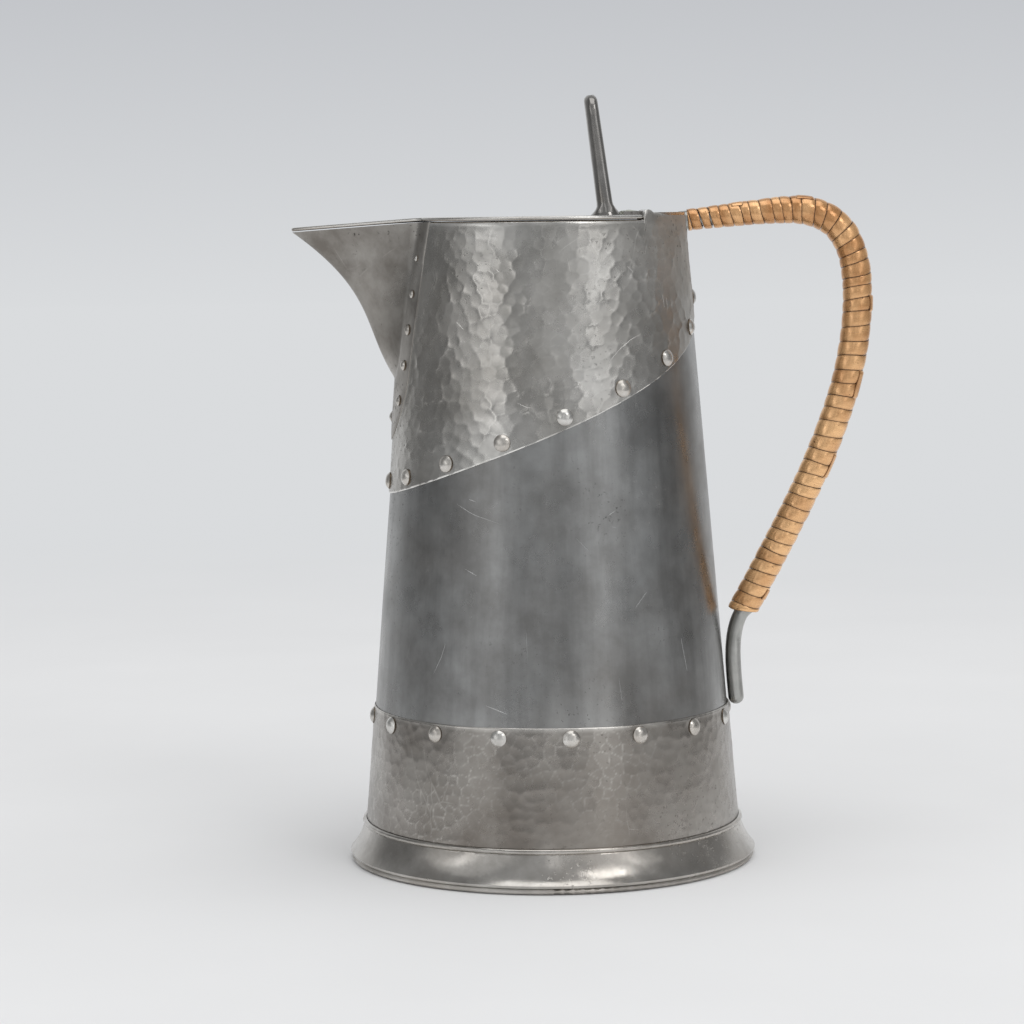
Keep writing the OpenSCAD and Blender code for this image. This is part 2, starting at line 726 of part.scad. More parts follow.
// Radii on which the lengthwise cane and the binding lie
function leader_in(s) = bar_r(s) + seat_gap;
function wrap_in(s) = leader_in(s) + leader_t + cane_clear;
function wrap_out(s) = wrap_in(s) + cane_t;

// Stations of the bar's rings, from the socket to the tang's rounded end
bar_rings = 58;
bar_step = (bar_length - tang_half_t) / bar_rings;
bar_sides = 16;
tang_round = 4;
bar_stations = concat(
    [for (i = [0:bar_rings - 1]) [i * bar_step, 1]],
    [for (i = [0:tang_round]) let (a = 78 * i / tang_round)
        [bar_length - tang_half_t * (1 - sin(a)), cos(a)]]
);

// Metal bar of the handle, from the socket to the tang on the wall
module handle_bar() {
    rings = [for (st = bar_stations) [for (j = [0:bar_sides - 1]) let (a = -360 * j / bar_sides)
        beside_bar(st[0], st[1] * bar_half_t(st[0]) * cos(a), st[1] * bar_half_w(st[0]) * sin(a))]];
    color(pewter_dark)
        polyhedron(points = flat(rings), faces = tube_faces(len(rings), bar_sides));
}

// Stations under the binding, shared with the bar's rings
leader_stations = [for (st = bar_stations)
    if (st[0] > grip_start_s + 2 * bar_step && st[0] < grip_end_s - 2 * bar_grip_r) st[0]];

// Strip of cane laid along the outer side of the bar, under the binding
module cane_leader() {
    turns = [-1, -1 / 3, 1 / 3, 1];
    ring_angles = [for (k = turns) [k * leader_half, 0]];
    back_angles = [for (k = turns) [-k * leader_half, leader_t]];
    section = concat(ring_angles, back_angles);
    rings = [for (s = leader_stations) [for (q = section) let (r = leader_in(s) + q[1])
        beside_bar(s, r * cos(q[0]), r * sin(q[0]))]];
    color(cane_tan)
        polyhedron(points = flat(rings), faces = tube_faces(len(rings), len(section)));
}

// Binding of cane: one strip wound around the bar in an unbroken helix
loop_rings = 24;
wrap_pitch = (grip_end_s - grip_start_s + cane_gap) / (cane_turns + 1);
cane_w = wrap_pitch - cane_gap;
wrap_rings = cane_turns * loop_rings;
// Section of the strip as share of its width and rise above its inner face
cane_section = [[-0.5, 0], [0, 0], [0.5, 0], [0.5, cane_t - cane_crown], [0, cane_t], [-0.5, cane_t - cane_crown]];
function wrap_point(k, q) =
    let (
        turn = 360 * k / loop_rings,
        s = grip_start_s + cane_w * (0.5 + q[0]) + wrap_pitch * k / loop_rings,
        r = wrap_in(s) + q[1]
    )
    beside_bar(s, r * cos(turn), -r * sin(turn));
wrap_points = [for (k = [0:wrap_rings]) [for (q = cane_section) wrap_point(k, q)]];

// Least gap between two neighbouring turns, over all rings
least_cane_gap = min([for (k = [0:wrap_rings - loop_rings], pair = [[2, 0], [3, 5]])
    norm(wrap_points[k][pair[0]] - wrap_points[k + loop_rings][pair[1]])]);
echo(least_cane_gap = least_cane_gap);

module cane_wrap() {
    color(cane_tan)
        polyhedron(points = flat(wrap_points), faces = tube_faces(len(wrap_points), len(cane_section)));
}

// Outline of the lid seen from above: the mouth and the beak, with an overhang
module lid_plan() {
    steps = 10;
    lid_r = rim_r + band_out + lid_over;
    fold_y = fold_top_w + lid_over;
    fold = [-sqrt(lid_r * lid_r - fold_y * fold_y), fold_y];
    nose_x = keel_tip[0] - lid_over;
    side = [for (i = [0:steps]) beak_plan(fold, nose_x, nose_share * fold_y, i / steps)];
    far = [for (i = [steps - 1:-1:0]) [side[i][0], -side[i][1]]];
    back_x = hinge_x - knuckle_r - hinge_gap;
    difference() {
        union() {
            circle(r = lid_r, $fn = round_fn);
            polygon(concat([[0, 0]], side, far));
        }
        translate([back_x, -base_r])
            square([base_r, 2 * base_r]);
    }
}

// Plate of the lid seen from the side: level over the mouth, bent down along the beak
module lid_side() {
    bend_x = on_cone(rim_z, flange_out, fold_top_w)[0];
    slope = tip_drop / (bend_x - keel_tip[0]);
    far_x = keel_tip[0] - past;
    far_drop = slope * (bend_x - far_x);
    polygon([
        [base_r, lid_z], [base_r, lid_top_z], [bend_x, lid_top_z], [far_x, lid_top_z - far_drop],
        [far_x, lid_z - far_drop], [bend_x, lid_z]
    ]);
}

module lid() {
    color(pewter_bright)
        intersection() {
            translate([0, 0, tip_z - base_r])
                linear_extrude(height = 2 * base_r)
                    lid_plan();
            rotate([90, 0, 0])
                linear_extrude(height = 2 * base_r, center = true)
                    lid_side();
        }
}

// Leaf on the lid, with the middle knuckle
module lid_hinge_leaf() {
    front_x = thumb_x + thumb_seat_r + leaf_gap;
    color(pewter_dark)
        difference() {
            union() {
                knuckle(-lid_knuckle_half, lid_knuckle_half);
                translate([front_x, -lid_knuckle_half, lid_top_z])
                    cube([hinge_x - front_x, 2 * lid_knuckle_half, leaf_t]);
            }
            pin_hole();
        }
}

// Tapering tongue with a round end: width at the foot and at the tip
module tongue(foot, tip) {
    polygon([[-foot / 2, 0], [foot / 2, 0], [tip / 2, thumb_h - tip / 2], [-tip / 2, thumb_h - tip / 2]]);
    translate([0, thumb_h - tip / 2])
        circle(d = tip, $fn = pin_fn);
}

// Thumb piece on its flared seat, leaning to the spout
module thumb_piece() {
    foot_lift = thumb_foot_t / 2 * sin(thumb_lean) + seat_gap;
    color(pewter_bright)
        translate([thumb_x, 0, lid_top_z]) {
            cylinder(r1 = thumb_seat_r, r2 = thumb_foot_t / 2, h = thumb_seat_h, $fn = pin_fn);
            translate([0, 0, foot_lift])
                rotate([90, 0, 0])
                    rotate([0, 0, thumb_lean])
                        intersection() {
                            linear_extrude(height = thumb_tip_w + past, center = true)
                                tongue(thumb_foot_t, thumb_tip_t);
                            rotate([0, 90, 0])
                                linear_extrude(height = thumb_foot_t + past, center = true)
                                    tongue(thumb_foot_w, thumb_tip_w);
                        }
        }
}

base_plate();
foot_ring();
body_wall();
lower_band();
lower_band_rivets();
upper_band();
upper_band_rivets();
spout();
spout_rivets();
hinge_plate();
hinge_pin();
handle_socket();
handle_bar();
cane_leader();
cane_wrap();
lid();
lid_hinge_leaf();
thumb_piece();
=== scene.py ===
"""Dresses the frame of a pewter flagon: hammered bands, rivets, beak, lid and bound handle."""

import math

import bmesh
import bpy
import numpy as np
from bpy.props import FloatProperty, FloatVectorProperty, IntProperty, PointerProperty
from bpy.types import Operator, Panel, PropertyGroup
from mathutils import Matrix, Vector, noise


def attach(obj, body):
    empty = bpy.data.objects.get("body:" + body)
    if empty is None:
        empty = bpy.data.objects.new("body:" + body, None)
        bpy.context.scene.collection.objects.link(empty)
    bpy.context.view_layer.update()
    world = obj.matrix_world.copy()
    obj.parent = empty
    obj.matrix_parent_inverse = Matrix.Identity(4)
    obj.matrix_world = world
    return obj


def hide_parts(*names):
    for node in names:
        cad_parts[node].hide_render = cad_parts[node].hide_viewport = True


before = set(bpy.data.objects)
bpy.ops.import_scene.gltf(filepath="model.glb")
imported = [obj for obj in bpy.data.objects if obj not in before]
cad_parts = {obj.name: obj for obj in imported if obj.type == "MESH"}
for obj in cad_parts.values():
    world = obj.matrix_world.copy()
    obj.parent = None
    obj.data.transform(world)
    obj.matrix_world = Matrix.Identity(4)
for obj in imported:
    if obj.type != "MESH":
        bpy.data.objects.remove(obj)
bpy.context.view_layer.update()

bl_info = {
    "name": "Pewter flagon",
    "version": (1, 0, 0),
    "blender": (4, 5, 0),
    "location": "3D View > Sidebar > Flagon",
    "description": "Hammered bands, rivets, beak, lid and cane-bound handle on the flagon's frame",
    "category": "Add Mesh",
}

FULL = 2 * math.pi
BEAK_ROWS, BEAK_COLS = 46, 30
FLANGE_ROWS, FLANGE_COLS = 18, 7
BRIGHT_BURR = 4.0
MADE = {}

METALS = {
    "plain_wall": dict(tone="smooth", rough=0.31, cloud=34.0, streaks=0.5, pits=0.4, scratches=0.2,
                       marked=True, grain=0.03),
    "upper_sheet": dict(tone="upper", rough=0.25, cloud=46.0, pits=0.6, scratches=0.5, marked=True,
                        grain=0.02),
    "lower_sheet": dict(tone="lower", rough=0.28, cloud=31.0, pits=0.4, scratches=0.3, marked=True,
                        grain=0.03),
    "turned_foot": dict(tone="foot", rough=0.17, cloud=60.0, pits=0.5, scratches=0.2),
    "dull_edge": dict(tone="foot", rough=0.48, cloud=60.0, pits=0.5, scratches=0.0),
    "beak_sheet": dict(tone="spout", rough=0.33, cloud=50.0, pits=0.9, scratches=0.4, marked=True),
    "lid_sheet": dict(tone="lid", rough=0.25, cloud=70.0, pits=0.3, scratches=0.4, marked=True),
    "thumb_metal": dict(tone="thumb", rough=0.17, cloud=90.0, pits=0.3, scratches=0.2),
    "rivet_metal": dict(tone="rivet", rough=0.29, cloud=160.0, pits=0.3, scratches=0.0,
                        marked=True),
    "bar_metal": dict(tone="bar", rough=0.32, cloud=90.0, streaks=0.4, pits=0.5, scratches=0.3,
                      marked=True),
}

LAMPS = {
    "softbox_left": dict(place=(-1.05, -0.80, 0.55), size=(1.0, 1.3), watts=1.0),
    "softbox_right": dict(place=(0.90, -1.04, 0.55), size=(0.9, 1.3), watts=1.0),
    "strip_left": dict(place=(-0.98, -0.82, 0.42), size=(0.20, 1.0), watts=0.45),
    "strip_front": dict(place=(0.02, -1.75, 0.55), size=(0.20, 1.2), watts=0.3),
    "strip_right": dict(place=(0.88, -1.00, 0.40), size=(0.17, 1.0), watts=0.36),
    "softbox_key": dict(place=(0.72, -0.95, 1.17), size=(0.5, 0.5), watts=2.0),
    "softbox_top": dict(place=(0.0, -0.15, 1.60), size=(1.3, 1.3), watts=6.5),
}


def length(name, description, mm):
    return FloatProperty(name=name, description=description, default=mm / 1000, min=0.0,
                         precision=5, unit="LENGTH", subtype="DISTANCE")


def turn(name, description, degrees):
    return FloatProperty(name=name, description=description, default=math.radians(degrees),
                         unit="ROTATION", subtype="ANGLE")


def share(name, description, value):
    return FloatProperty(name=name, description=description, default=value, min=0.0, soft_max=1.0,
                         subtype="FACTOR")


def number(name, description, value):
    return IntProperty(name=name, description=description, default=value, min=1)


def colour(name, description, red, green, blue):
    return FloatVectorProperty(name=name, description=description, default=(red, green, blue),
                               size=3, min=0.0, max=1.0, subtype="COLOR")


class BodySizes(PropertyGroup):
    """Conical body, bands, foot and rivets."""

    base_r: length("Base radius", "Radius of the wall at the table", 57.0)
    rim_r: length("Rim radius", "Radius of the wall at the rim", 41.2)
    rim_z: length("Rim height", "Height of the rim", 191.5)
    wall_t: length("Wall thickness", "Thickness of the wall", 1.3)
    seat: length("Seat", "Clearance between two fixed pieces", 0.05)
    plate_t: length("Base plate", "Thickness of the base plate", 1.8)
    plate_reach: length("Base plate reach", "Reach of the base plate beyond the wall", 3.9)
    band_t: length("Band thickness", "Thickness of the hammered bands", 0.4)
    lower_band_z: length("Lower band", "Height of the lower band's upper edge", 46.8)
    front_drop: length("Upper band at the spout", "Drop of its edge below the rim there", 80.8)
    back_drop: length("Upper band at the handle", "Drop of its edge below the rim there", 29.3)
    edge_ease: turn("Edge ease", "Turn over which the upper band's edge starts to climb", 60.0)
    lap: turn("Lap", "Turn of the upper band's lap behind the handle", 18.0)
    foot_h: length("Foot height", "Height of the foot ring", 10.6)
    foot_reach: length("Foot reach", "Reach of the foot beyond the wall", 4.3)
    foot_edge_h: length("Foot edge", "Height of the foot's widest edge above the plate", 0.8)
    foot_bead_r: length("Foot bead", "Radius of the bead on the foot", 0.8)
    foot_hollow: share("Foot hollow", "How far the foot's side is hollowed", 0.3)
    rivet_count: number("Rivets", "Rivets around a band", 16)
    rivet_turn: turn("First rivet", "Turn of the first rivet from the middle of the spout", 6.0)
    rivet_clear: turn("Rivet clearance", "Turn that the upper rivets keep from the lap's ends", 6.0)
    rivet_r: length("Rivet radius", "Radius of a band rivet's head", 2.55)
    rivet_dome: length("Rivet dome", "Height of a band rivet's head", 1.15)
    lower_rivet_drop: length("Lower rivets", "Drop of the rivets below the band's edge", 3.1)
    upper_rivet_rise: length("Upper rivets", "Rise of the rivets above the band's edge", 3.7)


class HammerSizes(PropertyGroup):
    """Marks of the planishing hammer on the bands."""

    pitch: length("Mark pitch", "Distance between two hammer marks", 3.5)
    face_r: length("Hammer face", "Radius of the hammer's rounded face", 5.6)
    tilt: share("Hammer tilt", "Slope of the hammer's face from mark to mark", 0.065)
    lean: share("Mark lean", "Part of the tilt that all marks of the upper band share", 0.5)
    deepest: length("Deepest mark", "Depth that no hammer mark goes beyond", 0.34)
    cell: length("Mesh cell", "Size of a mesh cell on the bands", 0.48)
    wave: length("Waviness", "Depth of the slow waves in the sheet", 0.07)


class SpoutSizes(PropertyGroup):
    """Beak with its riveted flange."""

    reach: length("Reach", "Reach of the tip beyond the rim", 34.7)
    tip_drop: length("Tip drop", "Drop of the tip below the rim", 2.6)
    heel_drop: length("Heel drop", "Drop of the keel's heel below the rim", 46.4)
    tip_angle: turn("Tip angle", "Slope of the keel at the tip", 36.0)
    tip_pull: length("Tip pull", "Pull of the keel's curve at the tip", 31.0)
    heel_angle: turn("Heel angle", "Slope of the keel at the heel", 58.0)
    heel_pull: length("Heel pull", "Pull of the keel's curve at the heel", 18.0)
    fold_top_w: length("Fold at the rim", "Half width of the fold at the rim", 19.7)
    fold_end_w: length("Fold at the end", "Half width of the fold over its round end", 12.7)
    fold_end_h: length("Fold end height", "Height of the fold's round end", 9.4)
    nose_share: share("Nose width", "Half width of the nose as a share of the fold's", 0.2)
    keel_t: length("Keel thickness", "Thickness of the metal at the keel", 1.6)
    sheet_t: length("Sheet thickness", "Thickness of the flange", 0.4)
    flange_top_w: length("Flange at the rim", "Half width of the flange at the rim", 24.4)
    flange_end_w: length("Flange at the end", "Half width of the flange over its round end", 19.9)
    flange_end_h: length("Flange end height", "Height of the flange's round end", 23.0)
    flange_below: length("Flange below", "Reach of the flange below the heel", 18.6)
    rivet_r: length("Rivet radius", "Radius of a spout rivet's head", 1.65)
    rivet_dome: length("Rivet dome", "Height of a spout rivet's head", 0.8)
    rivet_drop: length("First rivet", "Drop of the first rivet below the rim", 10.5)
    rivet_pitch: length("Rivet pitch", "Distance between two rivets", 10.5)
    rivet_inset: length("Rivet inset", "Distance of the rivets from the flange's edge", 3.6)
    side_rivets: number("Side rivets", "Rivets on each side of the spout", 5)


class LidSizes(PropertyGroup):
    """Lid plate, hinge place and thumb piece."""

    lid_t: length("Lid thickness", "Thickness of the lid", 1.1)
    lid_gap: length("Lid gap", "Gap between the rim and the lid", 0.3)
    lid_over: length("Lid overhang", "Overhang of the lid over the rim", 0.2)
    hinge_inset: length("Hinge inset", "Distance of the hinge pin from the rim", 11.4)
    knuckle_r: length("Knuckle radius", "Radius of the hinge's knuckles", 1.4)
    knuckle_lift: length("Knuckle lift", "Lift of the knuckles above the rim", 0.1)
    plate_t: length("Hinge plate", "Thickness of the fixed plate behind the hinge", 2.1)
    hinge_gap: length("Hinge gap", "Gap between moving and fixed hinge pieces", 0.35)
    thumb_ahead: length("Thumb piece", "Distance of the thumb piece from the hinge", 11.8)
    thumb_lean: turn("Thumb lean", "Lean of the thumb piece to the spout", 7.3)
    thumb_h: length("Thumb height", "Height of the thumb piece", 35.8)
    foot_t: length("Thumb foot", "Thickness of the thumb piece at its foot", 4.9)
    tip_t: length("Thumb tip", "Thickness of the thumb piece at its tip", 4.0)
    foot_w: length("Thumb foot width", "Width of the thumb piece at its foot", 7.6)
    tip_w: length("Thumb tip width", "Width of the thumb piece at its tip", 12.6)
    seat_r: length("Thumb seat", "Radius of the flared seat", 4.8)


class HandleSizes(PropertyGroup):
    """Bar of the handle and its binding of cane."""

    socket_drop: length("Socket drop", "Drop of the bar's start below the rim", 0.4)
    socket_depth: length("Socket depth", "Depth of the bar's start in the wall", 1.4)
    socket_reach: length("Socket reach", "Reach of the socket beyond the bands", 0.5)
    climb: turn("Climb", "Slope of the bar at its start", 5.0)
    crest_rise: length("Crest rise", "Rise of the bar's crest above the rim", 2.4)
    crest_reach: length("Crest reach", "Reach of the crest beyond the rim", 31.8)
    reach: length("Reach", "Reach of the bar beyond the rim", 51.7)
    drop: length("Drop", "Drop of the bar's outermost place below the rim", 23.4)
    grip_end_z: length("Grip end", "Height of the grip's end", 72.5)
    grip_end_gap: length("Grip end gap", "Distance of the grip's end from the wall", 6.4)
    grip_end_slant: turn("Grip end slant", "Slant of the bar at the grip's end", 28.0)
    tang_lap: length("Tang lap", "Lap of the tang's end over the lower band", 1.6)
    start_r: length("Start radius", "Radius of the bar at the socket", 2.0)
    grip_r: length("Grip radius", "Radius of the bar in the grip", 3.15)
    taper: length("Taper", "Length over which the bar thickens", 46.0)
    tang_half_t: length("Tang thickness", "Half thickness of the tang", 2.35)
    tang_half_w: length("Tang width", "Half width of the tang", 3.2)
    lead_t: length("Lead thickness", "Thickness of the lengthwise cane", 0.35)
    lead_half: turn("Lead width", "Half width of the lengthwise cane around the bar", 26.0)
    cane_t: length("Cane thickness", "Thickness of the binding", 0.8)
    cane_clear: length("Cane clearance", "Clearance under the binding", 0.12)
    pitch_top: length("Pitch on top", "Width of a turn on the handle's top run", 3.05)
    pitch_bend: length("Pitch in the bend", "Width of a turn in the bend", 3.45)
    pitch_side: length("Pitch on the side", "Width of a turn on the handle's side", 4.25)
    pitch_end: length("Pitch at the end", "Width of a turn at the grip's end", 3.75)
    turn_gap: length("Turn gap", "Gap between two turns", 0.12)


class Finishes(PropertyGroup):
    """Colours of the metal and the cane."""

    smooth_pale: colour("Smooth pewter", "Rubbed places of the plain wall", 0.43, 0.435, 0.434)
    smooth_dark: colour("Smooth patina", "Patina of the plain wall", 0.248, 0.245, 0.239)
    upper_pale: colour("Upper band", "Rubbed places of the upper band", 0.60, 0.59, 0.568)
    upper_dark: colour("Upper band patina", "Patina of the upper band", 0.39, 0.382, 0.362)
    lower_pale: colour("Lower band", "Rubbed places of the lower band", 0.46, 0.443, 0.417)
    lower_dark: colour("Lower band patina", "Patina of the lower band", 0.225, 0.207, 0.188)
    foot_pale: colour("Foot", "Rubbed places of the foot", 0.64, 0.62, 0.588)
    foot_dark: colour("Foot patina", "Patina of the foot", 0.41, 0.39, 0.362)
    spout_pale: colour("Spout", "Rubbed places of the spout", 0.43, 0.412, 0.385)
    spout_dark: colour("Spout patina", "Patina of the spout", 0.20, 0.184, 0.165)
    lid_pale: colour("Lid", "Rubbed places of the lid", 0.86, 0.85, 0.82)
    lid_dark: colour("Lid patina", "Patina of the lid", 0.60, 0.585, 0.56)
    thumb_pale: colour("Thumb piece", "Rubbed places of the thumb piece", 0.36, 0.35, 0.337)
    thumb_dark: colour("Thumb patina", "Patina of the thumb piece", 0.27, 0.26, 0.249)
    rivet_pale: colour("Rivets", "Polished tops of the rivets", 0.80, 0.79, 0.76)
    rivet_dark: colour("Rivet patina", "Patina of the rivets", 0.54, 0.52, 0.49)
    bar_pale: colour("Bar", "Rubbed places of the bar", 0.56, 0.56, 0.535)
    bar_dark: colour("Bar patina", "Patina of the bar", 0.35, 0.35, 0.333)
    solder: colour("Solder", "Solder at the hinge", 0.55, 0.56, 0.48)
    cane_pale: colour("Cane", "Light turns of the cane", 0.95, 0.57, 0.275)
    cane_dark: colour("Dark cane", "Dark turns of the cane", 0.52, 0.24, 0.084)
    # Colour of the pinholes, and of the painted shade along the edges of the turns and of the lead.
    cane_gap: colour("Cane edges", "Grime along the edges of the turns", 0.10, 0.036, 0.012)


class StageSettings(PropertyGroup):
    """Floor, backdrop and camera."""

    floor: colour("Floor", "Colour of the floor", 0.68, 0.68, 0.683)
    backdrop: colour("Backdrop", "Colour behind the flagon", 0.70, 0.714, 0.729)
    backdrop_high: colour("Upper backdrop", "Colour of its upper part", 0.545, 0.559, 0.585)
    camera_away: length("Camera distance", "Distance from the flagon's axis", 950.0)
    camera_z: length("Camera height", "Height of the camera above the table", 194.5)
    camera_down: turn("Camera pitch", "Downward slope of the view", 5.431)
    camera_left: turn("Camera yaw", "Turn of the view to the spout's side", 0.675)
    camera_roll: turn("Camera roll", "Roll of the camera", 0.697)
    focal: length("Focal length", "Focal length on a 36 mm sensor", 111.328)


def sizes(context, *names):
    """The flagon's property groups of those names."""
    return [getattr(context.scene, "flagon_" + name) for name in names]


def mix(a, b, t):
    return a + (b - a) * t


def ease(t):
    t = np.clip(t, 0.0, 1.0)
    return t * t * (3 - 2 * t)


def curve2(a, b, c, t):
    return mix(mix(a, b, t), mix(b, c, t), t)


def curve3(a, b, c, d, t):
    return mix(curve2(a, b, c, t), curve2(b, c, d, t), t)


def waves(around, up, seed, count, fastest, height):
    """Slow waves over the body, about -1 to 1: around is a turn, up a height."""
    rng = np.random.default_rng(seed)
    total = np.zeros(np.broadcast(around, up).shape)
    for _ in range(count):
        total += np.cos(rng.integers(1, fastest + 1) * around
                        + rng.uniform(-1, 1) * FULL * up / height + rng.uniform(0, FULL))
    return total / math.sqrt(2 * count) / 1.6


def grid_faces(rows, cols, round_cols=False, round_rows=False):
    """Quads of a grid of points, row by row, closed where asked."""
    i = np.arange(rows if round_rows else rows - 1)[:, None]
    j = np.arange(cols if round_cols else cols - 1)[None, :]
    i2, j2 = (i + 1) % rows, (j + 1) % cols
    corners = (i * cols + j, i * cols + j2, i2 * cols + j2, i2 * cols + j)
    return np.stack(np.broadcast_arrays(*corners), -1).reshape(-1, 4).tolist()


def tube_faces(rows, cols, flip=False):
    """Faces of a row of rings, closed at both ends."""
    faces = grid_faces(rows, cols, round_cols=True)
    faces += [list(range(cols))[::-1], list(range((rows - 1) * cols, rows * cols))]
    return [face[::-1] for face in faces] if flip else faces


def shifted(faces, start):
    return [[i + start for i in face] for face in faces]


def make_piece(name, points, faces, finish, body, stands_for, sharp, marks=None, strip=None,
               weld=False):
    """One mesh piece in the frame, with its finish, riding on a body."""
    mesh = bpy.data.meshes.new(name)
    mesh.from_pydata(np.asarray(points).reshape(-1, 3).tolist(), [], faces)
    for key, values in (marks or {}).items():
        mark = mesh.attributes.new(key, "FLOAT", "POINT")
        mark.data.foreach_set("value", np.asarray(values, np.float32).ravel())
    if strip is not None:
        corners = np.zeros(len(mesh.loops), np.int32)
        mesh.loops.foreach_get("vertex_index", corners)
        flat = np.asarray(strip, np.float32).reshape(-1, 2)[corners]
        mesh.uv_layers.new(name="strip").data.foreach_set("uv", flat.ravel())
    if weld:
        work = bmesh.new()
        work.from_mesh(mesh)
        bmesh.ops.remove_doubles(work, verts=work.verts, dist=1e-7)
        work.to_mesh(mesh)
        work.free()
    mesh.validate()
    mesh.shade_smooth()
    mesh.set_sharp_from_angle(angle=math.radians(sharp))
    mesh.materials.append(finish_named(finish))
    piece = bpy.data.objects.new(name, mesh)
    bpy.context.scene.collection.objects.link(piece)
    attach(piece, body)
    if stands_for:
        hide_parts(*stands_for)


def dress_node(node, finish, bevel=0.0):
    """Gives a node of the frame its finish, and softens its edges."""
    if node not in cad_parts:
        raise RuntimeError(f"the frame has no node {node}")
    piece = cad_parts[node]
    piece.data.materials.clear()
    piece.data.materials.append(finish_named(finish))
    if bevel:
        soft = piece.modifiers.new("soft_edges", "BEVEL")
        soft.width = bevel
        soft.segments = 3
        soft.limit_method = "ANGLE"
        soft.angle_limit = math.radians(50)
        soft.harden_normals = True


def wall_r(body, z):
    return body.base_r - (body.base_r - body.rim_r) * z / body.rim_z


def wall_tilt(body):
    return math.atan((body.base_r - body.rim_r) / body.rim_z)


def band_out(body):
    """Distance of a band's face from the wall."""
    return body.seat + body.band_t


def flange_in(body):
    """Distance of the flange's inner face from the wall."""
    return band_out(body) + body.seat


def on_body(around, z, r):
    """Points at a turn from the spout, towards the shown side."""
    return np.stack(np.broadcast_arrays(-r * np.cos(around), -r * np.sin(around), z), -1)


def climb_z(body, around):
    """Height of the upper band's lower edge, which climbs on along the lap."""
    climbed = np.sqrt(around * around + body.edge_ease**2) - body.edge_ease
    whole = math.sqrt(math.pi**2 + body.edge_ease**2) - body.edge_ease
    return body.rim_z - mix(body.front_drop, body.back_drop, climbed / whole)


def edge_z(body, around):
    """Height of the upper band's lower edge, alike on both sides."""
    return climb_z(body, np.minimum(around, FULL - around))


def shield_w(z, top_w, end_w, end_z, end_h, rim_z):
    """Half width of a shield at a height: straight sides over a round end."""
    straight = mix(end_w, top_w, (z - end_z) / (rim_z - end_z))
    rounded = end_w * np.sqrt(np.maximum(0.0, 1 - ((end_z - z) / end_h) ** 2))
    return np.where(z >= end_z, straight, rounded)


def heel_height(body, spout):
    return body.rim_z - spout.heel_drop


def fold_w(body, spout, z):
    end_z = heel_height(body, spout) + spout.fold_end_h
    return shield_w(z, spout.fold_top_w, spout.fold_end_w, end_z, spout.fold_end_h, body.rim_z)


def flange_w(body, spout, z):
    end_z = heel_height(body, spout) - spout.flange_below + spout.flange_end_h
    return shield_w(z, spout.flange_top_w, spout.flange_end_w, end_z, spout.flange_end_h,
                    body.rim_z)


def open_half(body, spout, z):
    """Half of the turn that the spout's opening takes at a height."""
    half = np.arcsin(fold_w(body, spout, z) / wall_r(body, z))
    return np.where(z > heel_height(body, spout), half, 0.0)


def band_gap(body, spout, z):
    """Half of the turn that the upper band leaves open, which starts under the flange."""
    heel, below = heel_height(body, spout), 0.012
    slot_w = np.interp(z, [heel - below, heel + spout.fold_end_h, body.rim_z],
                       [0.0, spout.fold_end_w, spout.fold_top_w])
    return np.arcsin(slot_w / wall_r(body, z))


def hammer_marks(around, z, radius, hammer, lean, seed):
    """Level of the hammer marks, highest at the crests between them, and how near a crest each
    point is.
    """
    stray, uneven, marked_h = 0.34, 0.00005, 0.22
    soft, ridge_w = 0.000012, 0.00004
    rng = np.random.default_rng(seed)
    cols = int(round(FULL * radius / hammer.pitch))
    row_h = hammer.pitch * 0.88
    rows = int(marked_h / row_h)
    push = rng.uniform(-stray, stray, (2, rows, cols))
    face = hammer.face_r * rng.uniform(0.72, 1.5, (rows, cols))
    sunk = rng.uniform(-uneven, uneven, (rows, cols))
    tilt_a, tilt_z = rng.uniform(-hammer.tilt, hammer.tilt, (2, rows, cols))
    at_row = np.floor(z / row_h).astype(int)
    first = second = np.full(z.shape, 1e3)
    for di in (-1, 0, 1, 2):
        r = np.clip(at_row + di, 0, rows - 1)
        at_col = np.floor(around / FULL * cols - 0.5 * (r % 2)).astype(int)
        for dj in (-1, 0, 1, 2):
            c = (at_col + dj) % cols
            mid_turn = (at_col + dj + 0.5 * (r % 2) + push[0, r, c]) / cols * FULL
            beside, above = (around - mid_turn) * radius, z - (r + push[1, r, c]) * row_h
            level = (beside**2 + above**2) / (2 * face[r, c]) - sunk[r, c]
            level += tilt_a[r, c] * beside + (tilt_z[r, c] - lean * hammer.tilt) * above
            second = np.minimum(second, np.maximum(first, level))
            first = np.minimum(first, level)
    level = first - soft * np.log1p(np.exp(-(second - first) / soft))
    return level, np.exp(-(second - first) / ridge_w)


def scratch_strips(lines, radius_at):
    """Closed burrs along lines of turns from the shown side in degrees and heights in mm."""
    width, rise, root, steps = 0.00026, 0.00004, -0.00008, 26
    t = np.linspace(0, 1, steps)
    points, faces = [], []
    for line in lines:
        place = np.array(line)
        knots = np.linspace(0, 1, len(place))
        around = math.pi / 2 + np.radians(np.interp(t, knots, place[:, 0]))
        z = np.interp(t, knots, place[:, 1]) / 1000
        r = radius_at(around, z)
        along = np.stack([np.gradient(around) * r, np.gradient(z)], -1)
        along /= np.linalg.norm(along, axis=1)[:, None]
        half = width / 2 * np.sqrt(np.sin(math.pi * np.clip(t, 0.02, 0.98)))
        ring = []
        for side, up in ((1, root), (0, rise), (-1, root)):
            beside = around - side * half * along[:, 1] / r
            above = z + side * half * along[:, 0]
            ring.append(on_body(beside, above, radius_at(beside, above) + up))
        faces += shifted(tube_faces(steps, 3), 3 * steps * len(points))
        points.append(np.stack(ring, 1).reshape(-1, 3))
    return np.concatenate(points), faces


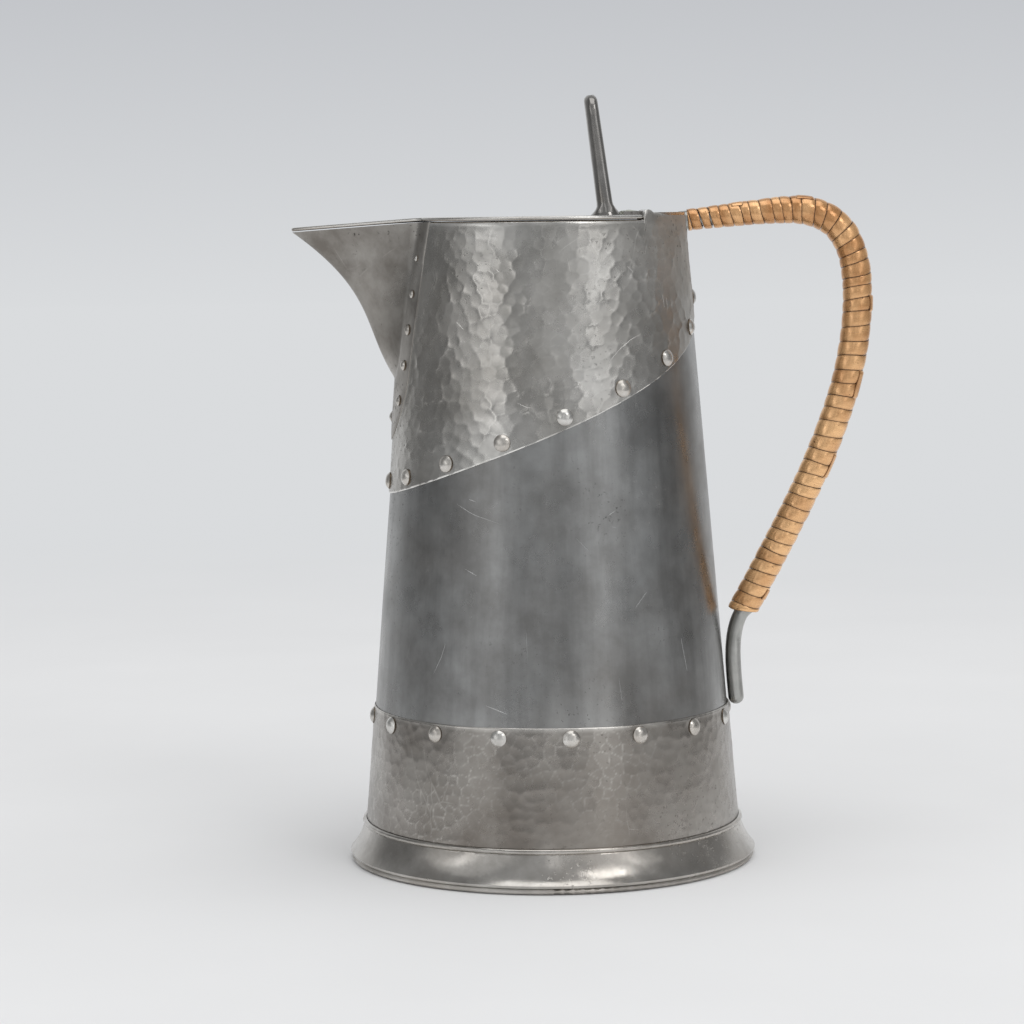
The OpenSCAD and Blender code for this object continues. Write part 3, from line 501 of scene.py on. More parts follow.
def band_piece(name, finish, stands_for, seed, body, hammer, around, low, high, lift, lean, worn,
               rubbed, matt=None, closed=False, scratches=()):
    """Hammered sheet on the wall, between two edges, with rounded edges and an inner side."""
    edge, calm, proud, inner_rows = 0.00018, 0.003, 0.00003, 16
    rows, cols = around.shape
    z = mix(low + edge, high - edge, np.linspace(0, 1, rows)[:, None])
    mid_r = wall_r(body, float(z.mean()))
    level, ridge = hammer_marks(around, z, mid_r, hammer, lean, seed)
    top = np.quantile(level, 0.995)

    def at_rim(z):
        return ease((z - body.rim_z + calm) / calm)

    def depth_at(around, z, level):
        slow = hammer.wave * (0.5 + 0.5 * waves(around, z, seed + 1, 14, 12, 0.03))
        depth = np.maximum(0.0, top - level) * worn(around, z) + slow
        return hammer.deepest * np.tanh(depth * (1 - at_rim(z)) / hammer.deepest)

    def face_r(around, z):
        marked = hammer_marks(around, z, mid_r, hammer, lean, seed)[0]
        return wall_r(body, z) + band_out(body) - depth_at(around, z, marked)

    face = band_out(body) + lift + proud * at_rim(z) - depth_at(around, z, level)
    outer = on_body(around, z, wall_r(body, z) + face)
    low_edge = on_body(around[0], low[0], wall_r(body, low[0]) + face[0] - edge)
    top_edge = on_body(around[-1], high[-1], wall_r(body, high[-1]) + face[-1] - edge)
    back = np.linspace(0, rows - 1, inner_rows).astype(int)[::-1]
    inner = on_body(around[back], z[back], wall_r(body, z[back]) + body.seat)
    points = np.concatenate([low_edge[None], outer, top_edge[None], inner])
    faces = grid_faces(len(points), cols, round_rows=True)
    if not closed:
        ends = [[0, 1, len(points) - 1], [rows, rows + 1, rows + 2]]
        ends += [list(range(b + 1, a + 2)) + [rows + 2 + k, rows + 3 + k]
                 for k, (a, b) in enumerate(zip(back, back[1:]))]
        faces += [[i * cols for i in end] for end in ends]
        faces += [[i * cols + cols - 1 for i in end[::-1]] for end in ends]
    points = points.reshape(-1, 3)
    line, hidden = np.zeros((1, cols)), np.zeros(inner.shape[:2])
    ridge = ridge * rubbed(around, z)
    # The rows next to both edges, and the rounded edges themselves, are marked bright: painted
    # highlights along each band's edge and along the rim.
    edge_rows = [0, -3, -2, -1]
    ridge[edge_rows] = np.maximum(ridge[edge_rows], [[1.6], [0.4], [0.9], [1.6]])
    ridge = np.concatenate([line + 2, ridge, line + 2, hidden]).ravel()
    dull = matt(around, z) if matt else np.zeros(z.shape)
    dull = np.concatenate([line, dull, line, hidden]).ravel()
    if scratches:
        burrs, burr_faces = scratch_strips(scratches, face_r)
        faces += shifted(burr_faces, len(points))
        points = np.concatenate([points, burrs])
        ridge = np.concatenate([ridge, np.full(len(burrs), BRIGHT_BURR)])
        dull = np.concatenate([dull, np.zeros(len(burrs))])
    make_piece(name, points, faces, finish, "jug", stands_for, 50,
               {"ridge": ridge, "dull": dull}, weld=closed)


def rivet_heads(places, head_r, dome, body, tail_r, seed):
    """Domed heads on the wall, each a little different, with flat tails inside, and their marks."""
    sides, rings, root, lip = 28, 9, -0.00035, 0.04
    tail_t, tail_out = 0.0006, 0.0004
    rng = np.random.default_rng(seed)
    tilt = wall_tilt(body)
    a = np.arange(sides) / sides * FULL
    s = np.concatenate([[1.0, 1.0], np.cos(np.linspace(0.22, math.pi / 2 - 0.12, rings))])
    peak = len(s) * sides
    one = grid_faces(len(s), sides, round_cols=True) + [list(range(sides))[::-1]]
    one += [[peak - sides + j, peak - sides + (j + 1) % sides, peak] for j in range(sides)]
    one += shifted(tube_faces(2, sides, flip=True), peak + 1)
    rim = np.zeros(peak + 1 + 2 * sides)
    # A darker ring at the foot of each head.
    rim[:3 * sides] = np.repeat([1.0, 0.9, 0.35], sides)
    points, faces = [], []
    for around, z, offset, size in places:
        level = np.array([-math.cos(around), -math.sin(around), 0.0])
        out = level * math.cos(tilt) + np.array([0.0, 0.0, math.sin(tilt)])
        across = np.array([math.sin(around), -math.cos(around), 0.0])
        spoke = np.cos(a)[:, None] * across + np.sin(a)[:, None] * np.cross(out, across)
        middle = level * wall_r(body, z) + np.array([0.0, 0.0, z])
        seat = middle + out * (offset + body.seat) * math.cos(tilt)
        flat = rng.uniform(2.1, 2.9)
        wide = head_r * size * rng.uniform(0.95, 1.0)
        high = dome * size * rng.uniform(0.9, 1.0)
        lean = rng.uniform(-0.05, 0.05, 2)
        h = high * (1 - s**flat)
        h[:2] = root, lip * high
        bump = h[:, None] * (1 + s[:, None] * (lean[0] * np.cos(a) + lean[1] * np.sin(a)))
        head = seat + wide * s[:, None, None] * spoke + bump[..., None] * out
        tail = middle - out * (body.wall_t + tail_out) + tail_r * spoke
        faces += shifted(one, len(rim) * len(points))
        points.append(np.concatenate([head.reshape(-1, 3), [seat + out * high],
                                      tail + out * tail_t, tail]))
    return np.concatenate(points), faces, {"rim": np.tile(rim, len(places))}


def spout_rivet_places(body, spout):
    """Turn, height, distance from the wall and size of each rivet in the flange."""
    out = flange_in(body) + spout.sheet_t
    places = []
    for i in range(spout.side_rivets):
        z = body.rim_z - spout.rivet_drop - i * spout.rivet_pitch
        beside = float(flange_w(body, spout, z)) - spout.rivet_inset
        half = math.asin(beside / (wall_r(body, z) + out))
        size = min(1.0, 0.6 + 0.2 * i)
        places += [(-half, z, out, size), (half, z, out, size)]
    low = heel_height(body, spout) - spout.flange_below + spout.rivet_inset + 2 * spout.rivet_r
    return places + [(0.0, low, out, 1.0)]


def keel(body, spout, t):
    """Line of the spout's keel as X and Z, from the tip to the heel."""
    heel_z = heel_height(body, spout)
    tip = np.array([-(body.rim_r + spout.reach), body.rim_z - spout.tip_drop])
    heel = np.array([-(wall_r(body, heel_z) + flange_in(body) + spout.sheet_t), heel_z])
    tip_way = np.array([math.cos(spout.tip_angle), -math.sin(spout.tip_angle)])
    heel_way = np.array([-math.cos(spout.heel_angle), math.sin(spout.heel_angle)])
    return curve3(tip, tip + spout.tip_pull * tip_way, heel + spout.heel_pull * heel_way, heel, t)


def beak_plan(fold_x, fold_y, nose_x, nose_y, s):
    """Plan of one side of the beak, from the fold to the nose."""
    return curve2(fold_x, nose_x, nose_x, s), curve2(fold_y, nose_y, 0.0, s)


def spout_sheet(body, spout, inside):
    """One face of the spout's sheet: rows from the rim down, columns from flange to flange."""
    half = BEAK_COLS + FLANGE_COLS
    feather = 0.0 if inside else spout.sheet_t - 0.0001
    tuck = 0.0003 if inside else spout.sheet_t
    thinner = spout.sheet_t if inside else 0.0
    offset = flange_in(body) + spout.sheet_t - thinner
    rim_z, heel_z = body.rim_z, heel_height(body, spout)
    tip_z = rim_z - spout.tip_drop
    j = np.arange(-half, half + 1)
    side = np.where(j < 0, -1.0, 1.0)
    on_beak = np.abs(j) <= BEAK_COLS
    beak_s = np.where(on_beak, 1 - np.abs(j) / BEAK_COLS, 0.0)
    flange_s = np.maximum(0, np.abs(j) - BEAK_COLS) / FLANGE_COLS
    rows = []
    for i in range(BEAK_ROWS):
        k = keel(body, spout, i / BEAK_ROWS)
        z = mix(rim_z, heel_z, (tip_z - k[1]) / (tip_z - heel_z))
        r = wall_r(body, z) + offset
        whole_w = float(fold_w(body, spout, z))
        fold_y = whole_w - thinner
        fold_x = -math.sqrt(r * r - fold_y * fold_y)
        nose_x, nose_y = k[0], spout.nose_share * whole_w - thinner / 2
        if inside:
            nose_x = min(k[0] + spout.keel_t, -(wall_r(body, k[1]) + flange_in(body)))
        x, y = beak_plan(fold_x, fold_y, nose_x, nose_y, beak_s)
        beak_z = mix(z, k[1], (fold_x - x) / max(1e-6, fold_x - nose_x))
        a = mix(math.asin(fold_y / r), math.asin(float(flange_w(body, spout, z)) / r), flange_s)
        thin = r - np.where(flange_s < 1, feather * flange_s, tuck)
        rows.append(np.stack([np.where(on_beak, x, -thin * np.cos(a)),
                              side * np.where(on_beak, y, thin * np.sin(a)),
                              np.where(on_beak, beak_z, z)], -1))
    for i in range(FLANGE_ROWS + 1):
        down = i / FLANGE_ROWS
        z = heel_z - spout.flange_below * math.sin(math.radians(84) * down)
        r = wall_r(body, z) + offset
        split = mix(0.4, BEAK_COLS / half, down)
        part = np.where(on_beak, split * np.abs(j) / BEAK_COLS, mix(split, 1.0, flange_s))
        a = part * math.asin(float(flange_w(body, spout, z)) / r)
        thinned = feather * np.maximum(flange_s, ease(2 * down - 1))
        thin = r - np.where((flange_s < 1) & (i < FLANGE_ROWS), thinned, tuck)
        rows.append(np.stack([-thin * np.cos(a), side * thin * np.sin(a), np.full(len(j), z)], -1))
    sheet = np.array(rows)
    for fold in (FLANGE_COLS, 2 * half - FLANGE_COLS):
        before, at, after = (sheet[:BEAK_ROWS, fold + step] for step in (-1, 0, 1))
        sheet[:BEAK_ROWS, fold] = mix(at, mix(before, after, 0.5), 0.5)
    return sheet


class HandleLine:
    """Centre line of the handle, measured along its length."""

    def __init__(self, body, grip):
        tilt = wall_tilt(body)
        climb = np.array([math.cos(grip.climb), math.sin(grip.climb)])
        start = np.array([body.rim_r, body.rim_z - grip.socket_drop]) - grip.socket_depth * climb
        crest = np.array([body.rim_r + grip.crest_reach, body.rim_z + grip.crest_rise])
        far = np.array([body.rim_r + grip.reach, body.rim_z - grip.drop])
        end = np.array([wall_r(body, grip.grip_end_z) + grip.grip_end_gap, grip.grip_end_z])
        slant = -np.array([math.sin(grip.grip_end_slant), math.cos(grip.grip_end_slant)])
        tang_z = body.lower_band_z - grip.tang_lap
        tang_off = (flange_in(body) + grip.tang_half_t) / math.cos(tilt)
        tang = np.array([wall_r(body, tang_z) + tang_off, tang_z])
        down = np.array([math.sin(tilt), -math.cos(tilt)])
        right, below = np.array([1.0, 0.0]), np.array([0.0, -1.0])
        top = crest[0] - start[0]
        bend, side, last = (np.linalg.norm(q) for q in (far - crest, end - far, tang - end))
        parts = [
            (start, start + 0.35 * top * climb, crest - 0.22 * top * right, crest),
            (crest, crest + 0.47 * bend * right, far - 0.47 * bend * below, far),
            (far, far + 0.32 * side * below, end - 0.36 * side * slant, end),
            (end, end + 0.28 * last * slant, tang - 0.36 * last * down, tang),
        ]
        steps = 159
        t = np.linspace(0, 1, steps + 1)[:, None]
        line = np.concatenate([curve3(*p, t)[(1 if i else 0):] for i, p in enumerate(parts)])
        lengths = np.linalg.norm(np.diff(line, axis=0), axis=1)
        self.line = line
        self.s = np.concatenate([[0.0], np.cumsum(lengths)])
        self.direction = np.gradient(line, self.s, axis=0)
        self.direction /= np.linalg.norm(self.direction, axis=1)[:, None]
        ends = [float(self.s[steps * i]) for i in (1, 2, 3, 4)]
        self.bend_start, self.bend_end, self.grip_end, self.length = ends
        self.grip_start = (grip.socket_depth + grip.socket_reach + band_out(body) + body.band_t
                           + body.seat)
        self.grip = grip
        self.seat = body.seat

    def beside(self, s, out, across):
        """Point at a length along the line: out is away from the body, across is along Y."""
        x, z = (np.interp(s, self.s, self.line[:, i]) for i in (0, 1))
        dx, dz = (np.interp(s, self.s, self.direction[:, i]) for i in (0, 1))
        return np.stack(np.broadcast_arrays(x - dz * out, across, z + dx * out), -1)

    def bar_r(self, s):
        thicker = ease((s - self.grip_start) / self.grip.taper)
        return mix(self.grip.start_r, self.grip.grip_r, thicker)

    def wrap_in(self, s):
        return self.bar_r(s) + self.seat + self.grip.lead_t + self.grip.cane_clear

    def wrap_out(self, s):
        return self.wrap_in(s) + self.grip.cane_t


class Shading:
    """Node tree of a finish or the world, filled node by node."""

    def __init__(self, tree):
        self.tree = tree
        tree.nodes.clear()

    def add(self, kind, inputs=None, **settings):
        """Adds a node with its settings and inputs, values or sockets, and gives its outputs."""
        made = self.tree.nodes.new(kind)
        for key, value in settings.items():
            setattr(made, key, value)
        for key, value in (inputs or {}).items():
            if isinstance(value, bpy.types.NodeSocket):
                self.tree.links.new(value, made.inputs[key])
            else:
                made.inputs[key].default_value = value
        return made.outputs

    def noise(self, coords, scale, detail, rough, stretch=None):
        if stretch:
            coords = self.add("ShaderNodeMapping", {"Vector": coords, "Scale": stretch})["Vector"]
        return self.add("ShaderNodeTexNoise", {"Vector": coords, "Scale": scale, "Detail": detail,
                                               "Roughness": rough})["Fac"]

    def remap(self, value, low, high, to_low=0.0, to_high=1.0, how="LINEAR"):
        return self.add("ShaderNodeMapRange",
                        {"Value": value, "From Min": low, "From Max": high, "To Min": to_low,
                         "To Max": to_high}, interpolation_type=how)["Result"]

    def blend(self, fac, a, b, how="MIX"):
        return self.add("ShaderNodeMixRGB", {"Fac": fac, "Color1": a, "Color2": b},
                        blend_type=how)["Color"]

    def maths(self, operation, a, b, clamp=False):
        return self.add("ShaderNodeMath", {0: a, 1: b}, operation=operation,
                        use_clamp=clamp)["Value"]

    def times(self, a, b):
        return self.maths("MULTIPLY", a, b)

    def mark(self, name):
        """A mark that the mesh carries at its points."""
        return self.add("ShaderNodeAttribute", attribute_name=name)["Fac"]

    def bump(self, strength, distance, height):
        return self.add("ShaderNodeBump", {"Strength": strength, "Distance": distance,
                                           "Height": height})["Normal"]

    def place(self):
        return self.add("ShaderNodeTexCoord")["Object"]

    def surface(self, **inputs):
        """Ends a finish with one shader: its inputs by name, with _ for a space."""
        named = {key.replace("_", " "): value for key, value in inputs.items()}
        shader = self.add("ShaderNodeBsdfPrincipled", named)["BSDF"]
        self.add("ShaderNodeOutputMaterial", {"Surface": shader})


def new_finish(name):
    """Empty material and its nodes."""
    finish = bpy.data.materials.new(name)
    finish.use_nodes = True
    return finish, Shading(finish.node_tree)


def rgba(value, factor=1.0):
    return (*np.multiply(value, factor).tolist(), 1.0)


def pewter(name, colours, tone, rough, cloud, pits, scratches, streaks=0.0, marked=False,
           grain=0.05):
    """Worn pewter: cloudy patina, streaks, pits, scratches, rubbed crests, painted highlights and
    shade.
    """
    pale, dark = getattr(colours, tone + "_pale"), getattr(colours, tone + "_dark")
    rubbed = rgba(pale, 1.45)
    finish, nodes = new_finish(name)
    coords = nodes.place()
    clouds = nodes.noise(coords, cloud, 6.0, 0.62)
    slow = nodes.noise(coords, cloud * 0.28, 3.0, 0.5)
    base = nodes.blend(nodes.remap(clouds, 0.36, 0.66), rgba(dark), rgba(pale))
    base = nodes.blend(nodes.remap(slow, 0.42, 0.68, 0.0, 0.45), base,
                       rgba(dark, (1.02, 0.93, 0.84)))
    if streaks:
        runs = nodes.noise(coords, 1.0, 5.0, 0.6, (130.0, 130.0, 9.0))
        base = nodes.blend(nodes.remap(runs, 0.45, 0.75, 0.0, streaks), base, rgba(dark, 0.62))
    worn_rough = nodes.remap(nodes.noise(coords, cloud * 1.7, 5.0, 0.6), 0.35, 0.68, rough - 0.07,
                             rough + 0.10)
    if marked:
        # The crest mark lightens rubbed hammer crests and scratches, and paints highlights along
        # the bands' edges, the rim and the beak's fold.
        worn = nodes.times(nodes.mark("ridge"), nodes.remap(clouds, 0.38, 0.60, 0.15, 0.7))
        base = nodes.blend(worn, base, rubbed)
        # The rim mark darkens: painted shade under the lid's edge and on the bar under the binding,
        # and a darker ring at the foot of each rivet.
        base = nodes.blend(nodes.mark("rim"), base, rgba(dark, (0.30, 0.24, 0.18)))
        worn_rough = nodes.maths("ADD", worn_rough, nodes.times(nodes.mark("dull"), 0.42))
    patch = nodes.remap(nodes.noise(coords, 30.0, 3.0, 0.6), 0.50, 0.66)
    spots = nodes.remap(nodes.noise(coords, 880.0, 2.0, 0.6), 0.62, 0.70)
    pitted = nodes.times(spots, nodes.times(patch, pits))
    base = nodes.blend(pitted, base, rgba(dark, 0.35))
    stir = nodes.add("ShaderNodeTexNoise", {"Vector": coords, "Scale": 30.0})["Color"]
    skew = nodes.add("ShaderNodeMapping", {"Vector": nodes.blend(0.012, coords, stir, "ADD"),
                                           "Rotation": (0.5, 0.9, 0.7),
                                           "Scale": (70.0, 14.0, 40.0)})["Vector"]
    lines = nodes.add("ShaderNodeTexVoronoi", {"Vector": skew, "Scale": 1.0},
                      feature="DISTANCE_TO_EDGE")["Distance"]
    kept = nodes.remap(nodes.noise(coords, 38.0, 2.0, 0.5), 0.60, 0.68)
    scratch = nodes.times(nodes.remap(lines, 0.0, 0.008, 1.0, 0.0), nodes.times(kept, scratches))
    base = nodes.blend(scratch, base, rubbed)
    fine = nodes.bump(grain, 0.0006, nodes.noise(coords, 420.0, 5.0, 0.6))
    sunk = nodes.add("ShaderNodeBump", {"Strength": 0.35, "Distance": 0.0002, "Height": pitted,
                                        "Normal": fine}, invert=True)["Normal"]
    nodes.surface(Base_Color=base, Metallic=1.0, Normal=sunk,
                  Roughness=nodes.maths("ADD", worn_rough, pitted, clamp=True))
    return finish


def solder_finish(name, colours):
    """Rough, dull solder."""
    finish, nodes = new_finish(name)
    lumps = nodes.noise(nodes.place(), 420.0, 5.0, 0.6)
    base = nodes.blend(nodes.remap(lumps, 0.35, 0.65), rgba(colours.solder, 0.7),
                       rgba(colours.solder, 1.2))
    nodes.surface(Base_Color=base, Metallic=1.0, Roughness=nodes.remap(lumps, 0.3, 0.7, 0.50, 0.36),
                  Normal=nodes.bump(0.25, 0.0004, lumps))
    return finish


def cane_finish(name, colours):
    """Glossy split cane: fibres along the strip, turns of uneven tone, painted shade at the edges,
    pinholes.
    """
    pale, dark, shade_and_grime = (rgba(c) for c in (colours.cane_pale, colours.cane_dark, colours.cane_gap))
    finish, nodes = new_finish(name)
    strip = nodes.add("ShaderNodeUVMap", uv_map="strip")["UV"]
    coords = nodes.place()
    fibres = nodes.noise(strip, 1.0, 4.0, 0.6, (90.0, 2600.0, 1.0))
    cloud = nodes.remap(nodes.noise(coords, 160.0, 4.0, 0.6), 0.35, 0.65, -0.3, 0.3)
    base = nodes.blend(nodes.maths("ADD", nodes.mark("tone"), cloud, clamp=True), dark, pale)
    base = nodes.blend(nodes.remap(fibres, 0.42, 0.72, 0.0, 0.28), base,
                       rgba(colours.cane_dark, 0.75))
    holes = nodes.remap(nodes.noise(coords, 900.0, 2.0, 0.5), 0.70, 0.74)
    base = nodes.blend(nodes.times(holes, 0.7), base, shade_and_grime)
    # Painted shade at the rims of the turns and in the gaps between them.
    base = nodes.blend(nodes.mark("rim"), base, shade_and_grime)
    nodes.surface(Base_Color=base, Metallic=0.68, Coat_Weight=0.6, Coat_Roughness=0.15,
                  Roughness=nodes.remap(fibres, 0.35, 0.7, 0.20, 0.30),
                  Normal=nodes.bump(0.08, 0.0002, fibres))
    return finish


def finish_named(name):
    """The finish of that name, made when first asked for."""
    if name not in MADE:
        colours = bpy.context.scene.flagon_finishes
        if name == "split_cane":
            MADE[name] = cane_finish(name, colours)
        elif name == "rough_solder":
            MADE[name] = solder_finish(name, colours)
        else:
            MADE[name] = pewter(name, colours, **METALS[name])
    return MADE[name]


class FLAGON_OT_wall(Operator):
    """Builds the plain conical wall, open behind the spout"""

    bl_idname = "flagon.wall"
    bl_label = "Body wall"

    def execute(self, context):
        body, spout = sizes(context, "body", "spout")
        cols, rows, dent = 220, 110, 0.00011
        u = np.linspace(0, 1, cols + 1)[None, :]
        z = np.linspace(body.plate_t, body.rim_z, rows + 1)[:, None]
        gap = open_half(body, spout, z)
        around = gap + u * (FULL - 2 * gap)

        def face_r(around, z):
            return wall_r(body, z) - dent * (0.5 + 0.5 * waves(around, z, 5, 16, 10, 0.05))

        outer = on_body(around, z, face_r(around, z))
        inner = on_body(around, z, wall_r(body, z) - body.wall_t)[::-1]
        points = np.concatenate([outer, inner]).reshape(-1, 3)
        faces = grid_faces(2 * (rows + 1), cols + 1, round_rows=True)
        heel = int(np.flatnonzero(z[:, 0] <= heel_height(body, spout))[-1])
        for i in range(heel, rows):
            lip = np.array([i, i + 1, 2 * rows - i, 2 * rows + 1 - i]) * (cols + 1)
            faces += [lip.tolist(), (lip[::-1] + cols).tolist()]
        burrs, burr_faces = scratch_strips([
            [(-41, 61), (-38, 66), (-36.5, 70)], [(9, 101), (14, 96.5)], [(-8, 76), (-7.4, 66)],
            [(29, 80), (34, 84.5)], [(-21, 53), (-13, 50.5)], [(22, 61), (23, 52.5)],
            [(-30, 92), (-25, 90)], [(48, 70), (50, 60)],
            [(-34, 110.5), (-27, 107.6), (-16.5, 105)], [(-29, 112), (-26, 111.2)],
            [(-27.5, 108.8), (-25, 109.4)], [(20.5, 107), (23.5, 108.5)], [(21, 104), (24, 103.4)],
        ], face_r)
        faces += shifted(burr_faces, len(points))
        ridge = np.concatenate([np.zeros(len(points)), np.full(len(burrs), BRIGHT_BURR)])
        make_piece("wall_cone", np.concatenate([points, burrs]), faces, "plain_wall", "jug",
                   ["body_wall"], 40, {"ridge": ridge}, weld=True)
        return {"FINISHED"}


class FLAGON_OT_bands(Operator):
    """Hammers the upper and the lower band"""

    bl_idname = "flagon.bands"
    bl_label = "Hammered bands"

    def execute(self, context):
        body, spout, hammer, lid = sizes(context, "body", "spout", "hammer", "lid")
        self.upper(body, spout, hammer, lid)
        self.lower(body, hammer)
        return {"FINISHED"}

    def upper(self, body, spout, hammer, lid):
        """Band that opens at the spout, rises behind the hinge and laps behind the handle."""
        mean_r, clear, pushed_part, pin_room = 0.047, 0.001, 0.2, 0.00005
        swell_h, swell_at, swell_w, swell_deep = 0.0006, 0.0009, 0.0028, 0.007
        roll_in, roll_h, lap_early, lap_ramp, lap_edge = 0.7, 0.0011, 0.10, 0.13, 0.0005
        rows, cols = int(body.front_drop / hammer.cell), int(FULL * mean_r / hammer.cell)
        u = np.linspace(0, 1, cols + 1)[None, :]
        v = np.linspace(0, 1, rows + 1)[:, None]
        around = np.broadcast_to(u * FULL, (rows + 1, cols + 1))
        pushed = (1 - ease(np.minimum(u, 1 - u) / pushed_part)) * np.where(u < 0.5, 1.0, -1.0)
        for _ in range(3):
            gap = band_gap(body, spout, mix(edge_z(body, around), body.rim_z, v)) + clear
            around = u * FULL + gap * pushed
        low = edge_z(body, around)
        past_pin = (-np.cos(around) * (body.rim_r + band_out(body))
                    - (body.rim_r - lid.hinge_inset))
        barrel_r = lid.knuckle_r + pin_room
        barrel = np.sqrt(np.maximum(0.0, barrel_r**2 - past_pin**2))
        barrel += lid.knuckle_lift + lid.knuckle_r
        rise = np.where(past_pin > barrel_r, lid.plate_t,
                        np.where(past_pin < -barrel_r, 0.0, barrel))
        high = body.rim_z + rise
        z = mix(low, high, v)
        swell = swell_h * np.exp(-(((past_pin - swell_at) / swell_w) ** 2))
        swell = swell * ease((z - body.rim_z + swell_deep) / swell_deep)
        rolled = roll_in * body.band_t * np.clip(1 - (high - z) / roll_h, 0, 1) ** 2
        on_lap = around < math.pi + body.lap
        lap = np.where(on_lap, ease((around - math.pi + lap_early) / lap_ramp), 0.0) * body.band_t
        lap = lap * ease((z - climb_z(body, around)) / lap_edge)

        def worn(around, z):
            spread = 0.80 + 0.30 * waves(around, z, 21, 8, 5, 0.08)
            near_edge = ease((z - edge_z(body, around)) / 0.010)
            below_rim = ease((body.rim_z + 0.0005 - z) / 0.008)
            flange = np.arcsin(flange_w(body, spout, z) / wall_r(body, z))
            off_flange = ease((np.minimum(around, FULL - around) - flange) * body.rim_r / 0.003)
            return np.maximum(0.0, spread * mix(0.45, 1.0, near_edge) * mix(0.25, 1.0, below_rim)
                              * mix(0.15, 1.0, off_flange))

        def rubbed(around, z):
            return 0.4 * worn(around, z)

        def by_handle(around, z):
            away, spread = (around - math.pi) * body.rim_r, 0.030
            return np.exp(-((away / spread) ** 2) - ((body.rim_z - z) / spread) ** 2)

        scratches = [
            [(38, 158.8), (33, 157.2), (28, 154.6), (24, 151.6), (21, 148)],
            [(18.5, 173), (18.9, 168.5)], [(-37, 163), (-33, 160.5)], [(51, 170), (52, 166)],
            [(53.5, 169), (54, 165.5)], [(8, 181), (9.5, 176)],
            [(-12, 140), (-8, 138.6), (-5, 138.2)], [(-20, 178), (-18, 176.8)],
            [(33, 178.5), (36, 176.5)],
        ]
        band_piece("band_upper", "upper_sheet", ["upper_band"], 31, body, hammer, around, low, high,
                   lift=lap + swell - rolled, lean=hammer.lean, worn=worn, rubbed=rubbed,
                   matt=by_handle, scratches=scratches)

    def lower(self, body, hammer):
        """Closed band around the bottom, with an uneven upper edge."""
        mean_r, ragged = 0.055, 0.00018
        rows, cols = int(body.lower_band_z / hammer.cell), int(FULL * mean_r / hammer.cell)
        around = np.broadcast_to(np.linspace(0, FULL, cols + 1)[None, :], (rows + 1, cols + 1))
        flat = np.zeros(around.shape)

        def worn(around, z):
            return np.maximum(0.0, 0.18 + 0.16 * waves(around, z, 22, 8, 6, 0.06))

        # Patches where the crests between marks are lighter: rubbed wear, with a painted highlight
        # on the crests.
        def rubbed(around, z):
            return np.clip(0.42 + 1.3 * waves(around, z, 27, 8, 9, 0.05), 0.0, 1.5)

        edge = body.lower_band_z + ragged * np.minimum(waves(around, flat, 8, 9, 14, 1.0), 0.0)
        band_piece("band_lower", "lower_sheet", ["lower_band"], 47, body, hammer, around,
                   flat + body.plate_t, edge, lift=flat, lean=0.0, worn=worn, rubbed=rubbed,
                   closed=True)


class FLAGON_OT_foot(Operator):
    """Builds the flared foot and dresses the base plate"""

    bl_idname = "flagon.foot"
    bl_label = "Foot"

    def execute(self, context):
        body = context.scene.flagon_body
        cols, dent, bead_dent = 260, 0.00010, 0.00016
        top_z, bead_r, inner = body.plate_t + body.foot_h, body.foot_bead_r, flange_in(body)
        plate_edge = np.array([body.base_r + body.plate_reach, body.plate_t])
        widest = np.array([body.base_r + body.foot_reach, body.plate_t + body.foot_edge_h])
        bead = np.array([wall_r(body, top_z) + inner + bead_r / 3, top_z - bead_r])
        under = bead + np.array([bead_r / 3, -bead_r])
        bend = mix(mix(widest, under, 0.5), np.array([under[0], widest[1]]), body.foot_hollow)
        a = np.linspace(-math.pi / 2, math.pi / 2, 11)[1:]
        outline = np.concatenate([
            [[wall_r(body, body.plate_t) + inner, body.plate_t], plate_edge,
             mix(plate_edge, widest, 0.6) + [0.0001, 0.0]],
            curve2(widest, bend, under, np.linspace(0, 1, 26)[:, None]),
            bead + bead_r * np.stack([np.cos(a), np.sin(a)], -1),
            [[wall_r(body, top_z) + inner, top_z]],
        ])
        around = np.arange(cols)[None, :] / cols * FULL
        r, z = outline[:, :1], outline[:, 1:]
        free = np.ones((len(outline), 1))
        free[[0, 1, -1]] = 0.0
        on_bead = (z > bead[1] - bead_r) & (free > 0)
        dents = dent * waves(around, z, 12, 16, 16, 0.012) * free
        dents = dents + on_bead * bead_dent * (waves(around, z, 15, 24, 70, 0.01) - 0.4)
        points = on_body(around, z, r + np.minimum(dents, 0.0))
        make_piece("foot_flare", points, grid_faces(len(outline), cols, True, True), "turned_foot",
                   "jug", ["foot_ring"], 48)
        dress_node("base_plate", "dull_edge")
        return {"FINISHED"}


